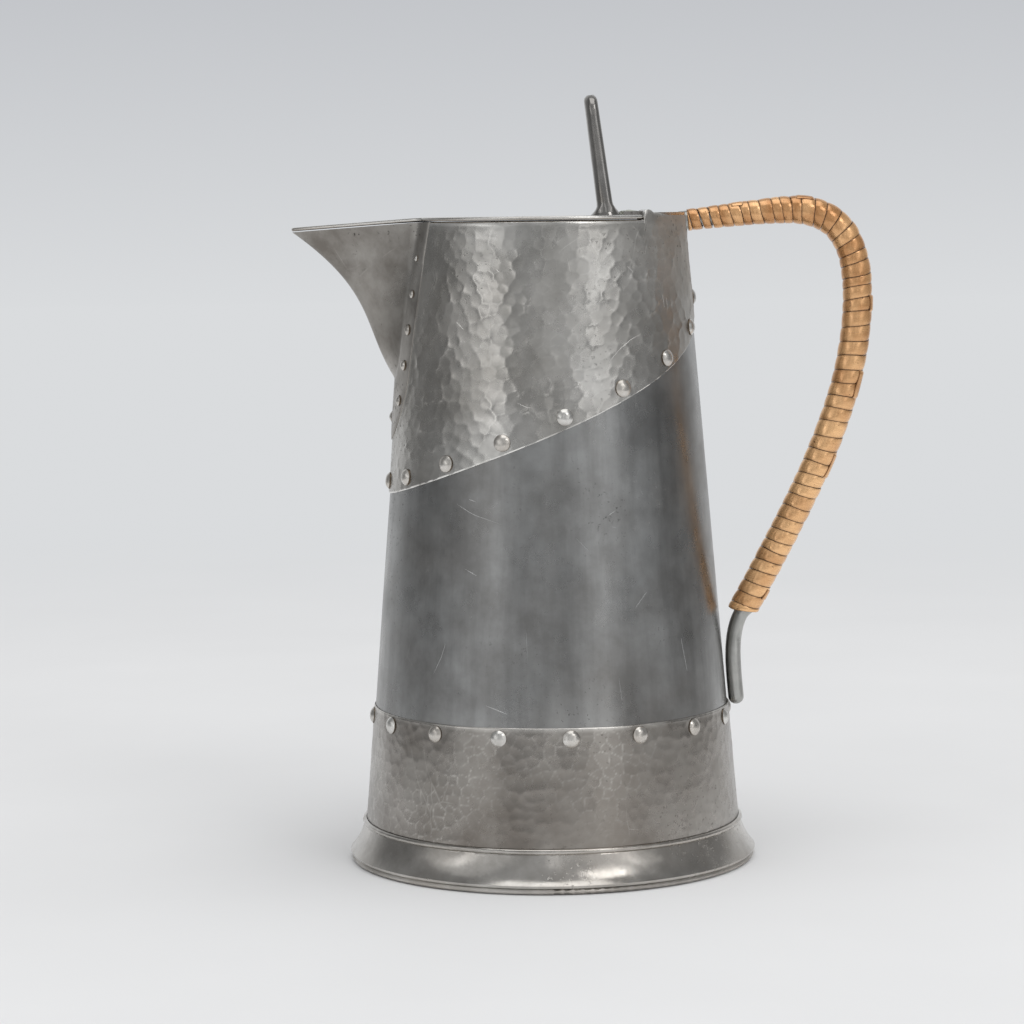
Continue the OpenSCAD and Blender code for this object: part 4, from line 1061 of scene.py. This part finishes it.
class FLAGON_OT_rivets(Operator):
    """Sets the domed rivets of the bands and the spout"""

    bl_idname = "flagon.rivets"
    bl_label = "Rivets"

    def execute(self, context):
        body, spout = sizes(context, "body", "spout")
        step, out = FULL / body.rivet_count, band_out(body)
        lower_z = body.lower_band_z - body.lower_rivet_drop
        lower = [(body.rivet_turn + i * step, lower_z, out, 1.0) for i in range(body.rivet_count)]
        near = int((math.pi - body.rivet_clear - body.rivet_turn) / step)
        far = int((math.pi - body.rivet_clear - body.lap + body.rivet_turn) / step)
        turns = [body.rivet_turn + i * step for i in range(-far, near + 1)]
        rise = body.upper_rivet_rise
        upper = [(a, float(edge_z(body, abs(a))) + rise, out, 1.0) for a in turns]
        lap = math.pi + body.lap / 3
        upper.append((lap, float(climb_z(body, lap)) + rise, out + body.band_t, 1.0))
        beside = spout_rivet_places(body, spout)
        for name, node, places, heads, tail, seed in (
                ("rivets_lower", "lower_band_rivets", lower, body, 0.7, 61),
                ("rivets_upper", "upper_band_rivets", upper, body, 0.7, 62),
                ("rivets_spout", "spout_rivets", beside, spout, 0.8, 63)):
            points, faces, marks = rivet_heads(places, heads.rivet_r, heads.rivet_dome, body,
                                               heads.rivet_r * tail, seed)
            make_piece(name, points, faces, "rivet_metal", "jug", [node], 60, marks)
        return {"FINISHED"}


class FLAGON_OT_spout(Operator):
    """Builds the beak with its flange"""

    bl_idname = "flagon.spout"
    bl_label = "Spout"

    def execute(self, context):
        body, spout = sizes(context, "body", "spout")
        outer, inner = spout_sheet(body, spout, False), spout_sheet(body, spout, True)
        rows, cols = outer.shape[:2]
        points = np.concatenate([outer, inner[:, ::-1]], 1)
        faces = grid_faces(rows, 2 * cols, round_cols=True)
        for row, flip in ((0, False), (rows - 1, True)):
            a, b = row * 2 * cols, (row + 1) * 2 * cols - 1
            for j in range(cols - 1):
                quad = [a + j, b - j, b - j - 1, a + j + 1]
                faces.append(quad[::-1] if flip else quad)
        pale, fold_highlight = 0.7, 1.6
        # Marks for the finish: the outer beak grows lighter towards the heel and the flange is
        # lighter; the two fold columns carry a painted highlight along the fold.
        ridge = np.zeros((rows, 2 * cols))
        ridge[:BEAK_ROWS, :cols] = pale * np.linspace(0, 1, BEAK_ROWS)[:, None] ** 2
        ridge[:, :FLANGE_COLS] = ridge[:, cols - FLANGE_COLS:cols] = pale
        ridge[:BEAK_ROWS - 2, [FLANGE_COLS, cols - 1 - FLANGE_COLS]] = fold_highlight
        make_piece("spout_beak", points, faces, "beak_sheet", "jug", ["spout"], 42,
                   {"ridge": ridge})
        return {"FINISHED"}


class FLAGON_OT_lid(Operator):
    """Builds the lid plate over the mouth and the beak"""

    bl_idname = "flagon.lid"
    bl_label = "Lid"

    def execute(self, context):
        body, spout, lid = sizes(context, "body", "spout", "lid")
        round_share, sag = 0.45, 0.00012
        lid_r = body.rim_r + band_out(body) + lid.lid_over
        fold_y = spout.fold_top_w + lid.lid_over
        fold_x = -math.sqrt(lid_r**2 - fold_y**2)
        tip_x = -(body.rim_r + spout.reach)
        back_x = body.rim_r - lid.hinge_inset - lid.knuckle_r - lid.hinge_gap
        back_y = math.sqrt(lid_r**2 - back_x**2)
        beak = np.stack(beak_plan(fold_x, fold_y, tip_x - lid.lid_over, spout.nose_share * fold_y,
                                  np.linspace(0, 1, 34)), -1)
        a = np.linspace(math.atan2(back_y, back_x), math.atan2(fold_y, fold_x), 70)[:-1]
        side = np.concatenate([lid_r * np.stack([np.cos(a), np.sin(a)], -1), beak])
        back = np.stack([np.full(18, back_x), np.linspace(-back_y, back_y, 20)[1:-1]], -1)
        outline = np.concatenate([side, side[-2::-1] * [1, -1], back])
        along = np.roll(outline, -1, 0) - np.roll(outline, 1, 0)
        normal = np.stack([along[:, 1], -along[:, 0]], -1)
        normal /= np.linalg.norm(normal, axis=1)[:, None]
        middle = np.array([-0.008, 0.0])
        grid = [middle + (outline - middle) * f for f in [0.02, *np.linspace(0.08, 0.96, 20)]]
        rounded = [(outline - normal * round_share * lid.lid_t * (1 - math.sin(q)),
                    1 - round_share * (1 - math.cos(q))) for q in np.linspace(0, math.pi / 2, 5)]
        rings = [(ring, 1.0) for ring in grid] + rounded
        rings += [(ring, 1 - level) for ring, level in rounded[::-1]]
        rings += [(ring, 0.0) for ring in grid[::-6]]
        # The lower half of the rounded edge is darkened as painted shade under the lid, and the
        # underside is darker too.
        shade_and_grime = [0.0] * 27 + [0.4, 0.9, 1.0, 1.0] + [0.6] * 4
        flange_r = body.rim_r + flange_in(body) + spout.sheet_t
        bend_x = -math.sqrt(flange_r**2 - spout.fold_top_w**2)
        slope = spout.tip_drop / (bend_x - tip_x)
        points = []
        for ring, level in rings:
            x, y = ring[:, 0], ring[:, 1]
            z = body.rim_z + lid.lid_gap - slope * np.maximum(0.0, bend_x - x) + lid.lid_t * level
            if level > 0.5:
                z -= sag * (0.5 + 0.5 * waves(np.arctan2(y, x), np.hypot(x, y), 77, 12, 5, 0.05))
            points.append(np.stack([x, y, z], -1))
        make_piece("lid_plate", points, tube_faces(len(rings), len(outline), flip=True),
                   "lid_sheet", "lid", ["lid"], 45,
                   {"rim": np.repeat(shade_and_grime, len(outline))})
        return {"FINISHED"}


class FLAGON_OT_thumb(Operator):
    """Builds the thumb piece on its flared seat"""

    bl_idname = "flagon.thumb"
    bl_label = "Thumb piece"

    def execute(self, context):
        body, lid = sizes(context, "body", "lid")
        thumb_x = body.rim_r - lid.hinge_inset - lid.thumb_ahead
        top_z = body.rim_z + lid.lid_gap + lid.lid_t
        lift = lid.foot_t / 2 * math.sin(lid.thumb_lean) + body.seat
        tip_r, end_w, seat_r, seat_h = lid.tip_t / 2, lid.tip_w / 2, lid.seat_r * 0.98, 0.0030
        deepest_cut, thin_t, softest = 0.0014, 0.0018, 0.0007
        heights = np.concatenate([
            [0.0], np.geomspace(0.00015, 0.006, 14), np.linspace(0.0075, lid.thumb_h - 0.0065, 22),
            lid.thumb_h - 0.0063 * np.cos(np.linspace(0.0, math.pi / 2 - 0.05, 14)),
        ])
        rings = []
        for h in heights:
            t = h / lid.thumb_h
            past_t = max(0.0, (h - (lid.thumb_h - tip_r)) / tip_r)
            past_w = max(0.0, (h - (lid.thumb_h - end_w)) / end_w)
            half_t = mix(lid.foot_t, lid.tip_t, t) / 2 * math.sqrt(max(0.0, 1 - past_t**2))
            half_w = mix(lid.foot_w, lid.tip_w, t) / 2 * math.sqrt(max(0.0, 1 - past_w**2))
            flare = max(0.0, 1 - h / seat_h) ** 1.6
            half_t, half_w = mix(half_t, seat_r, flare), mix(half_w, seat_r, flare)
            cut = deepest_cut * (1 - flare) * min(1.0, half_t / thin_t)
            square = self.section(half_t, half_w, cut, min(softest, half_t * 0.4))
            angle = np.arctan2(square[:, 1] / half_w, square[:, 0] / half_t)
            oval = np.stack([half_t * np.cos(angle), half_w * np.sin(angle)], -1)
            plan = mix(square, oval, max(0.30 + 0.55 * past_t, min(1.0, flare * 1.6)))
            lean = lid.thumb_lean * (1 - flare)
            x = plan[:, 0] * math.cos(lean) - h * math.sin(lid.thumb_lean)
            z = h * math.cos(lid.thumb_lean) + plan[:, 0] * math.sin(lean) + lift * (1 - flare)
            rings.append(np.stack([thumb_x + x, plan[:, 1], top_z + np.maximum(z, 0.0)], -1))
        make_piece("thumb_blade", rings, tube_faces(len(rings), len(rings[0])), "thumb_metal",
                   "lid", ["thumb_piece"], 55)
        return {"FINISHED"}

    def section(self, half_t, half_w, cut, soft):
        """Section of the blade: corners cut off towards the spout, softened towards the handle."""
        cut_w, soft_w = cut * 1.6, soft * 1.6
        corners = [(-half_t, -half_w + cut_w), (-half_t + cut, -half_w), (half_t - soft, -half_w),
                   (half_t, -half_w + soft_w), (half_t, half_w - soft_w), (half_t - soft, half_w),
                   (-half_t + cut, half_w), (-half_t, half_w - cut_w)]
        return np.array([(mix(x0, x1, q), mix(y0, y1, q))
                         for (x0, y0), (x1, y1) in zip(corners, corners[1:] + corners[:1])
                         for q in (0.14, 0.3, 0.5, 0.7, 0.86)])


class FLAGON_OT_hinge(Operator):
    """Dresses the hinge, and puts rough solder between the leaf and the thumb piece"""

    bl_idname = "flagon.hinge"
    bl_label = "Hinge"

    def execute(self, context):
        body, lid = sizes(context, "body", "lid")
        dress_node("hinge_plate", "upper_sheet", 0.0004)
        dress_node("lid_hinge_leaf", "thumb_metal", 0.0003)
        dress_node("hinge_pin", "rivet_metal", 0.0001)
        half_w, spread, bed, root, high, fall = 0.0062, 0.66, 0.0003, -0.0002, 0.0011, 0.0004
        hinge_x = body.rim_r - lid.hinge_inset
        front_x = hinge_x - lid.thumb_ahead + lid.seat_r
        back_x = hinge_x - lid.knuckle_r
        bed_z = body.rim_z + lid.lid_gap + lid.lid_t + bed
        work = bmesh.new()
        bmesh.ops.create_icosphere(work, subdivisions=5, radius=1.0)
        points = []
        for v in work.verts:
            lumps = 0.16 * noise.fractal(v.co * 2.2, 1.0, 2.0, 3) + 0.03 * noise.noise(v.co * 9.0)
            q = v.co * (1 + lumps)
            points.append((mix(front_x, back_x, 0.5) + q.x * (back_x - front_x) * spread,
                           q.y * half_w, bed_z + max(root, q.z * (high - fall * q.x))))
        faces = [[v.index for v in f.verts] for f in work.faces]
        work.free()
        make_piece("hinge_solder", points, faces, "rough_solder", "lid", (), 60)
        return {"FINISHED"}


class FLAGON_OT_handle(Operator):
    """Builds the handle's bar with its tang, and dresses the socket"""

    bl_idname = "flagon.handle"
    bl_label = "Handle bar"

    def execute(self, context):
        body, grip = sizes(context, "body", "handle")
        line = HandleLine(body, grip)
        rows, sides = 190, 32
        neck_r = grip.start_r + 0.00025
        end_a = np.linspace(0, math.radians(86), 12)[1:]
        s = np.concatenate([np.linspace(0, line.length - grip.tang_half_t, rows),
                            line.length - grip.tang_half_t * (1 - np.sin(end_a))])
        small = np.concatenate([np.ones(rows), np.cos(end_a)])
        past_grip = s - line.grip_end
        to_tang = ease((past_grip - grip.tang_half_t) / (line.length - line.grip_end) * 2)
        round_r = mix(line.bar_r(s), neck_r, ease((past_grip + grip.grip_r) / grip.grip_r))
        half_t = mix(round_r, grip.tang_half_t, to_tang) * small
        half_w = mix(round_r, grip.tang_half_w, to_tang) * small
        a = np.arange(sides)[None, :] / sides * FULL
        boxy = np.minimum(1 + 0.08 * to_tang[:, None] * np.sin(2 * a) ** 2, 1.06)
        points = line.beside(s[:, None], half_t[:, None] * np.cos(a) * boxy,
                             half_w[:, None] * np.sin(a) * boxy)
        # The bar is darkened under the binding, except near the socket: painted shade that shows in
        # the gaps between the turns.
        bound = ease((s - line.grip_start - 0.0062) / 0.001) * ease((-0.0035 - past_grip) / 0.0005)
        make_piece("handle_core", points, tube_faces(len(s), sides, flip=True), "bar_metal", "jug",
                   ["handle_bar"], 60, {"rim": np.repeat(bound, sides)})
        dress_node("handle_socket", "bar_metal", 0.00015)
        return {"FINISHED"}


class FLAGON_OT_cane(Operator):
    """Winds the cane around the grip, over a lengthwise strip that shows in places"""

    bl_idname = "flagon.cane"
    bl_label = "Cane binding"

    def execute(self, context):
        body, grip = sizes(context, "body", "handle")
        line = HandleLine(body, grip)
        self.binding(line, grip)
        self.lead(line, grip)
        return {"FINISHED"}

    def turn_starts(self, line, grip, first, last, rng):
        """Where each turn of the binding starts along the handle."""
        side_end = mix(line.bend_end, last, 0.5)
        places = [line.bend_start - 0.006, line.bend_start + 0.004, line.bend_end - 0.006,
                  line.bend_end + 0.004, side_end - 0.006, side_end + 0.006]
        pitches = [grip.pitch_top, grip.pitch_bend, grip.pitch_bend, grip.pitch_side,
                   grip.pitch_side, grip.pitch_end]
        starts = [first, first]
        while starts[-1] < last:
            pitch = np.interp(starts[-1], places, pitches)
            starts.append(starts[-1] + pitch * rng.uniform(0.86, 1.14))
        starts[-1] = last
        return starts

    def binding(self, line, grip):
        """The wound strip, with uneven turns, a gap near the socket and a level end."""
        thinnest, level_end, edge_drop, around_turn = 0.0001, 0.0030, 0.00020, 44
        early, open_w, open_at, open_spread = 0.00045, 0.0010, 0.0044, 0.0011
        rng = np.random.default_rng(90)
        first, last = line.grip_start - early, line.grip_end
        starts = self.turn_starts(line, grip, first, last, rng)
        turns = len(starts) - 2
        k = np.arange(turns * around_turn + 1) / around_turn
        speeds, phases = rng.uniform(0.3, 2.3, 9), rng.uniform(0, FULL, 9)
        heights = rng.uniform(0.00002, 0.00010, 9)

        def winding(at):
            return np.interp(at, np.arange(len(starts)), starts)

        def sway(at):
            total = sum(h * np.cos(FULL * f * at + p) for f, h, p in zip(speeds, heights, phases))
            return total * ease(at - 0.6) * ease(len(starts) - 1.4 - at)

        def by_half_turn(low, high):
            places = np.arange(2 * turns + 4) / 2
            return np.interp(k, places, rng.uniform(low, high, len(places)))

        loose = np.arange(0, turns + 1, 0.37)
        gap = grip.turn_gap * (0.4 + 1.2 * np.interp(k, loose, rng.random(len(loose))))
        gap = gap + open_w * np.exp(-((winding(k) - first - open_at) / open_spread) ** 2)
        trimmed = last - level_end * (0.5 + 0.5 * np.cos(k * FULL))
        low = np.minimum(winding(k) + sway(k) + gap / 2, trimmed - thinnest)
        high = np.clip(winding(k + 1) + sway(k + 1) - gap / 2, low + thinnest, trimmed)
        raised = np.interp(k, np.arange(turns + 3), rng.uniform(-0.00010, 0.00004, turns + 3))
        tilted = by_half_turn(-0.00010, 0.00010)
        # Each half turn has its own tone; past the bend the turns grow paler, painted light on the
        # lower grip.
        tone = by_half_turn(0.05, 0.70) + 0.5 * ease((winding(k) - line.bend_end) / 0.05)
        w = np.array([0.0, 0.0, 0.05, 0.16, 0.34, 0.5, 0.66, 0.84, 0.95, 1.0, 1.0])
        bottom = np.arange(len(w)) % (len(w) - 1) == 0
        s = mix(low[:, None], high[:, None], w)
        spread = 2 * w - 1
        lift = grip.cane_t + raised[:, None] + tilted[:, None] * spread
        r = line.wrap_in(s) + np.where(bottom, 0.0, lift - edge_drop * np.abs(spread) ** 3)
        a = (k * FULL)[:, None]
        points = line.beside(s, r * np.cos(a), -r * np.sin(a))
        steps = np.linalg.norm(np.diff(points[:, len(w) // 2], axis=0), axis=1)
        run = np.concatenate([[0.0], np.cumsum(steps)])
        strip = np.stack(np.broadcast_arrays(run[:, None], s - low[:, None]), -1)
        # Painted shade in the gaps: the sides of each turn are dark, and the edges of its face
        # darken a little.
        rim = np.where(bottom, 1.0, np.abs(spread) ** 16 * 0.8)
        self.cane_piece("cane_binding", points, tone, rim, strip, "cane_wrap")

    def lead(self, line, grip):
        """Lengthwise strip under the binding, which comes out over some turns."""
        inset, step, sink, ramp = 0.006, 0.0005, 0.00010, 0.0010
        narrowed, waver, mid_turn, drift = 0.72, 0.08, -0.42, 0.10
        rng = np.random.default_rng(94)
        s = np.arange(line.grip_start + inset, line.grip_end - inset, step)
        over = np.zeros(len(s))
        for a, b in ((0.0155, 0.0195), (0.0345, 0.0395), (0.0705, 0.0755), (0.0925, 0.1010),
                     (0.1180, 0.1260), (0.1630, 0.1670)):
            shown = ease((s - a + ramp / 2) / ramp) * ease((b + ramp / 2 - s) / ramp)
            over = np.maximum(over, shown)
        low = mix(line.bar_r(s) + line.seat, line.wrap_out(s) - sink, over)[:, None]
        half = grip.lead_half * mix(1.0, narrowed, over) * (1 + waver * np.cos(s * 900.0))
        mid = mid_turn + drift * np.cos(s * 160.0)
        q = np.linspace(-1, 1, 7)
        top = low + grip.lead_t * (1 - 0.35 * q**4)
        angle = mid[:, None] + half[:, None] * q
        outer, inner = (line.beside(s[:, None], r * np.cos(angle), r * np.sin(angle))
                        for r in (top, low))
        points = np.concatenate([outer, inner[:, ::-1]], 1)
        across = np.concatenate([q, q[::-1]]) * 0.002
        strip = np.stack(np.broadcast_arrays(s[:, None], across), -1)
        places = np.arange(0, 0.2, 0.012)
        tone = np.interp(s, places, rng.uniform(0.2, 0.9, len(places)))
        # Painted shade along the lead's edges and on its underside.
        rim = np.concatenate([np.abs(q) ** 12 * 0.55, np.ones(len(q))])
        self.cane_piece("cane_lead", points, tone, rim, strip, "cane_leader")

    def cane_piece(self, name, points, tone, rim, strip, node):
        """Strip of cane: its tone changes along it, and its rim of painted shade is the same all
        along.
        """
        shape = points.shape[:2]
        marks = {"tone": np.broadcast_to(tone[:, None], shape), "rim": np.broadcast_to(rim, shape)}
        make_piece(name, points, tube_faces(*shape, flip=True), "split_cane", "jug", [node],
                   50, marks, strip)


class FLAGON_OT_stage(Operator):
    """Sets the floor, the backdrop, the soft light and the camera"""

    bl_idname = "flagon.stage"
    bl_label = "Stage"

    def execute(self, context):
        scene, stage = context.scene, context.scene.flagon_stage
        self.floor(scene, stage)
        self.world(scene, stage)
        for name, settings in LAMPS.items():
            self.lamp(scene, name, **settings)
        camera = bpy.data.cameras.new("camera")
        camera.lens = stage.focal * 1000
        camera.sensor_width = 36.0
        camera.clip_start = 0.05
        eye = bpy.data.objects.new("camera", camera)
        scene.collection.objects.link(eye)
        eye.matrix_world = (Matrix.Translation((0.0, -stage.camera_away, stage.camera_z))
                            @ Matrix.Rotation(stage.camera_left, 4, "Z")
                            @ Matrix.Rotation(math.pi / 2 - stage.camera_down, 4, "X")
                            @ Matrix.Rotation(-stage.camera_roll, 4, "Z"))
        scene.camera = eye
        scene.view_settings.view_transform = "Standard"
        return {"FINISHED"}

    def seen_rays(self, nodes):
        """Rays that show the backdrop, and those of them that the metal mirrors."""
        path = nodes.add("ShaderNodeLightPath")
        seen = nodes.maths("MAXIMUM", path["Is Camera Ray"], path["Is Glossy Ray"])
        seen = nodes.maths("MAXIMUM", seen, path["Is Transmission Ray"])
        return seen, path["Is Glossy Ray"]

    def floor(self, scene, stage):
        """Pale floor that keeps the shadow, and passes into the backdrop far away."""
        rings, sides, below = np.concatenate([[0.02], np.geomspace(0.06, 6.0, 26)]), 96, 0.0002
        finish, nodes = new_finish("floor")
        coords = nodes.place()
        cloth = nodes.remap(nodes.noise(coords, 9.0, 3.0, 0.5), 0.3, 0.7)
        tone = nodes.blend(cloth, rgba(stage.floor, 0.97), rgba(stage.floor))
        near = nodes.add("ShaderNodeBsdfPrincipled", {"Base Color": tone, "Roughness": 0.75,
                                                      "Specular IOR Level": 0.1})["BSDF"]
        away = nodes.add("ShaderNodeVectorMath", {0: coords}, operation="LENGTH")["Value"]
        outward = nodes.add("ShaderNodeVectorMath", {0: coords}, operation="NORMALIZE")["Vector"]
        outward = nodes.add("ShaderNodeSeparateXYZ", {"Vector": outward})["Y"]
        seen, mirrored = self.seen_rays(nodes)
        far = nodes.times(nodes.remap(away, 0.35, 1.1, how="SMOOTHSTEP"), seen)
        distant = nodes.blend(mirrored, rgba(stage.backdrop), self.studio(nodes, outward))
        glow = nodes.add("ShaderNodeEmission", {"Color": distant, "Strength": 1.0})["Emission"]
        both = nodes.add("ShaderNodeMixShader", {0: far, 1: near, 2: glow})["Shader"]
        nodes.add("ShaderNodeOutputMaterial", {"Surface": both})
        a = np.arange(sides) / sides * FULL
        x, y = rings[:, None] * np.cos(a), rings[:, None] * np.sin(a)
        points = np.stack([x, y, np.zeros(x.shape)], -1).reshape(-1, 3)
        faces = [face[::-1] for face in grid_faces(len(rings), sides, round_cols=True)]
        mesh = bpy.data.meshes.new("floor")
        mesh.from_pydata(points.tolist(), [], faces + [list(range(sides))])
        mesh.materials.append(finish)
        ground = bpy.data.objects.new("floor", mesh)
        ground.location.z = -below
        scene.collection.objects.link(ground)

    def studio(self, nodes, y):
        """What the metal mirrors: dim to the sides of the flagon, pale before and behind it."""
        levels = [(0.0, 0.36), (0.035, 0.42), (0.20, 0.36), (0.36, 0.30), (0.55, 0.21),
                  (0.74, 0.25), (0.87, 0.62), (1.0, 0.74)]
        ramp = nodes.tree.nodes.new("ShaderNodeValToRGB")
        nodes.tree.links.new(nodes.remap(y, -1.0, 1.0), ramp.inputs["Fac"])
        for position, _ in levels[1:-1]:
            ramp.color_ramp.elements.new(position)
        for element, (_, level) in zip(ramp.color_ramp.elements, levels):
            element.color = (level * 0.985, level, level * 1.015, 1.0)
        return ramp.outputs["Color"]

    def world(self, scene, stage):
        """Pale backdrop for what is seen, the studio for the metal, a soft fill from the right."""
        scene.world = bpy.data.worlds.new("studio")
        scene.world.use_nodes = True
        nodes = Shading(scene.world.node_tree)
        toward = nodes.add("ShaderNodeTexCoord")["Generated"]
        split = nodes.add("ShaderNodeSeparateXYZ", {"Vector": toward})
        behind = nodes.blend(nodes.remap(split["Z"], -0.03, 0.07), rgba(stage.backdrop),
                             rgba(stage.backdrop_high))
        seen, mirrored = self.seen_rays(nodes)
        view = nodes.blend(mirrored, behind, self.studio(nodes, split["Y"]))
        facing = nodes.add("ShaderNodeVectorMath", {0: toward, 1: (0.55, -0.50, 0.67)},
                           operation="DOT_PRODUCT")["Value"]
        soft = nodes.blend(nodes.remap(facing, -1.0, 1.0), (0.06, 0.061, 0.062, 1.0),
                           (1.26, 1.27, 1.28, 1.0))
        fill, shown = (
            nodes.add("ShaderNodeBackground", {"Color": c, "Strength": 1.0})["Background"]
            for c in (soft, view))
        both = nodes.add("ShaderNodeMixShader", {0: seen, 1: fill, 2: shown})["Shader"]
        nodes.add("ShaderNodeOutputWorld", {"Surface": both})

    def lamp(self, scene, name, place, size, watts):
        """Soft lamp, out of the camera's sight, that looks at the flagon."""
        light = bpy.data.lights.new(name, "AREA")
        light.shape = "RECTANGLE"
        light.size, light.size_y = size
        light.energy = watts
        lamp = bpy.data.objects.new(name, light)
        lamp.location = place
        aim = Vector((0.0, 0.0, 0.10)) - Vector(place)
        lamp.rotation_euler = aim.to_track_quat("-Z", "Z").to_euler()
        lamp.visible_camera = False
        scene.collection.objects.link(lamp)


PIECES = [FLAGON_OT_wall, FLAGON_OT_bands, FLAGON_OT_foot, FLAGON_OT_rivets, FLAGON_OT_spout,
          FLAGON_OT_lid, FLAGON_OT_thumb, FLAGON_OT_hinge, FLAGON_OT_handle, FLAGON_OT_cane,
          FLAGON_OT_stage]

SETTINGS = {
    "flagon_body": BodySizes,
    "flagon_hammer": HammerSizes,
    "flagon_spout": SpoutSizes,
    "flagon_lid": LidSizes,
    "flagon_handle": HandleSizes,
    "flagon_finishes": Finishes,
    "flagon_stage": StageSettings,
}


class FLAGON_PT_panel(Panel):
    """Lists the flagon's pieces and their sizes"""

    bl_idname = "FLAGON_PT_panel"
    bl_label = "Pewter flagon"
    bl_space_type = "VIEW_3D"
    bl_region_type = "UI"
    bl_category = "Flagon"

    def draw(self, context):
        for piece in PIECES:
            self.layout.operator(piece.bl_idname)
        for key, kind in SETTINGS.items():
            group = getattr(context.scene, key)
            box = self.layout.box()
            box.label(text=kind.__doc__)
            for name in kind.__annotations__:
                box.prop(group, name)


def register():
    for group in SETTINGS.values():
        bpy.utils.register_class(group)
    for key, group in SETTINGS.items():
        setattr(bpy.types.Scene, key, PointerProperty(type=group))
    for piece in PIECES:
        bpy.utils.register_class(piece)
    bpy.utils.register_class(FLAGON_PT_panel)


def unregister():
    bpy.utils.unregister_class(FLAGON_PT_panel)
    for piece in reversed(PIECES):
        bpy.utils.unregister_class(piece)
    for key, group in reversed(SETTINGS.items()):
        delattr(bpy.types.Scene, key)
        bpy.utils.unregister_class(group)


def main():
    register()
    bpy.ops.flagon.wall()
    bpy.ops.flagon.bands()
    bpy.ops.flagon.foot()
    bpy.ops.flagon.rivets()
    bpy.ops.flagon.spout()
    bpy.ops.flagon.lid()
    bpy.ops.flagon.thumb()
    bpy.ops.flagon.hinge()
    bpy.ops.flagon.handle()
    bpy.ops.flagon.cane()
    bpy.ops.flagon.stage()


if __name__ == "__main__":
    main()
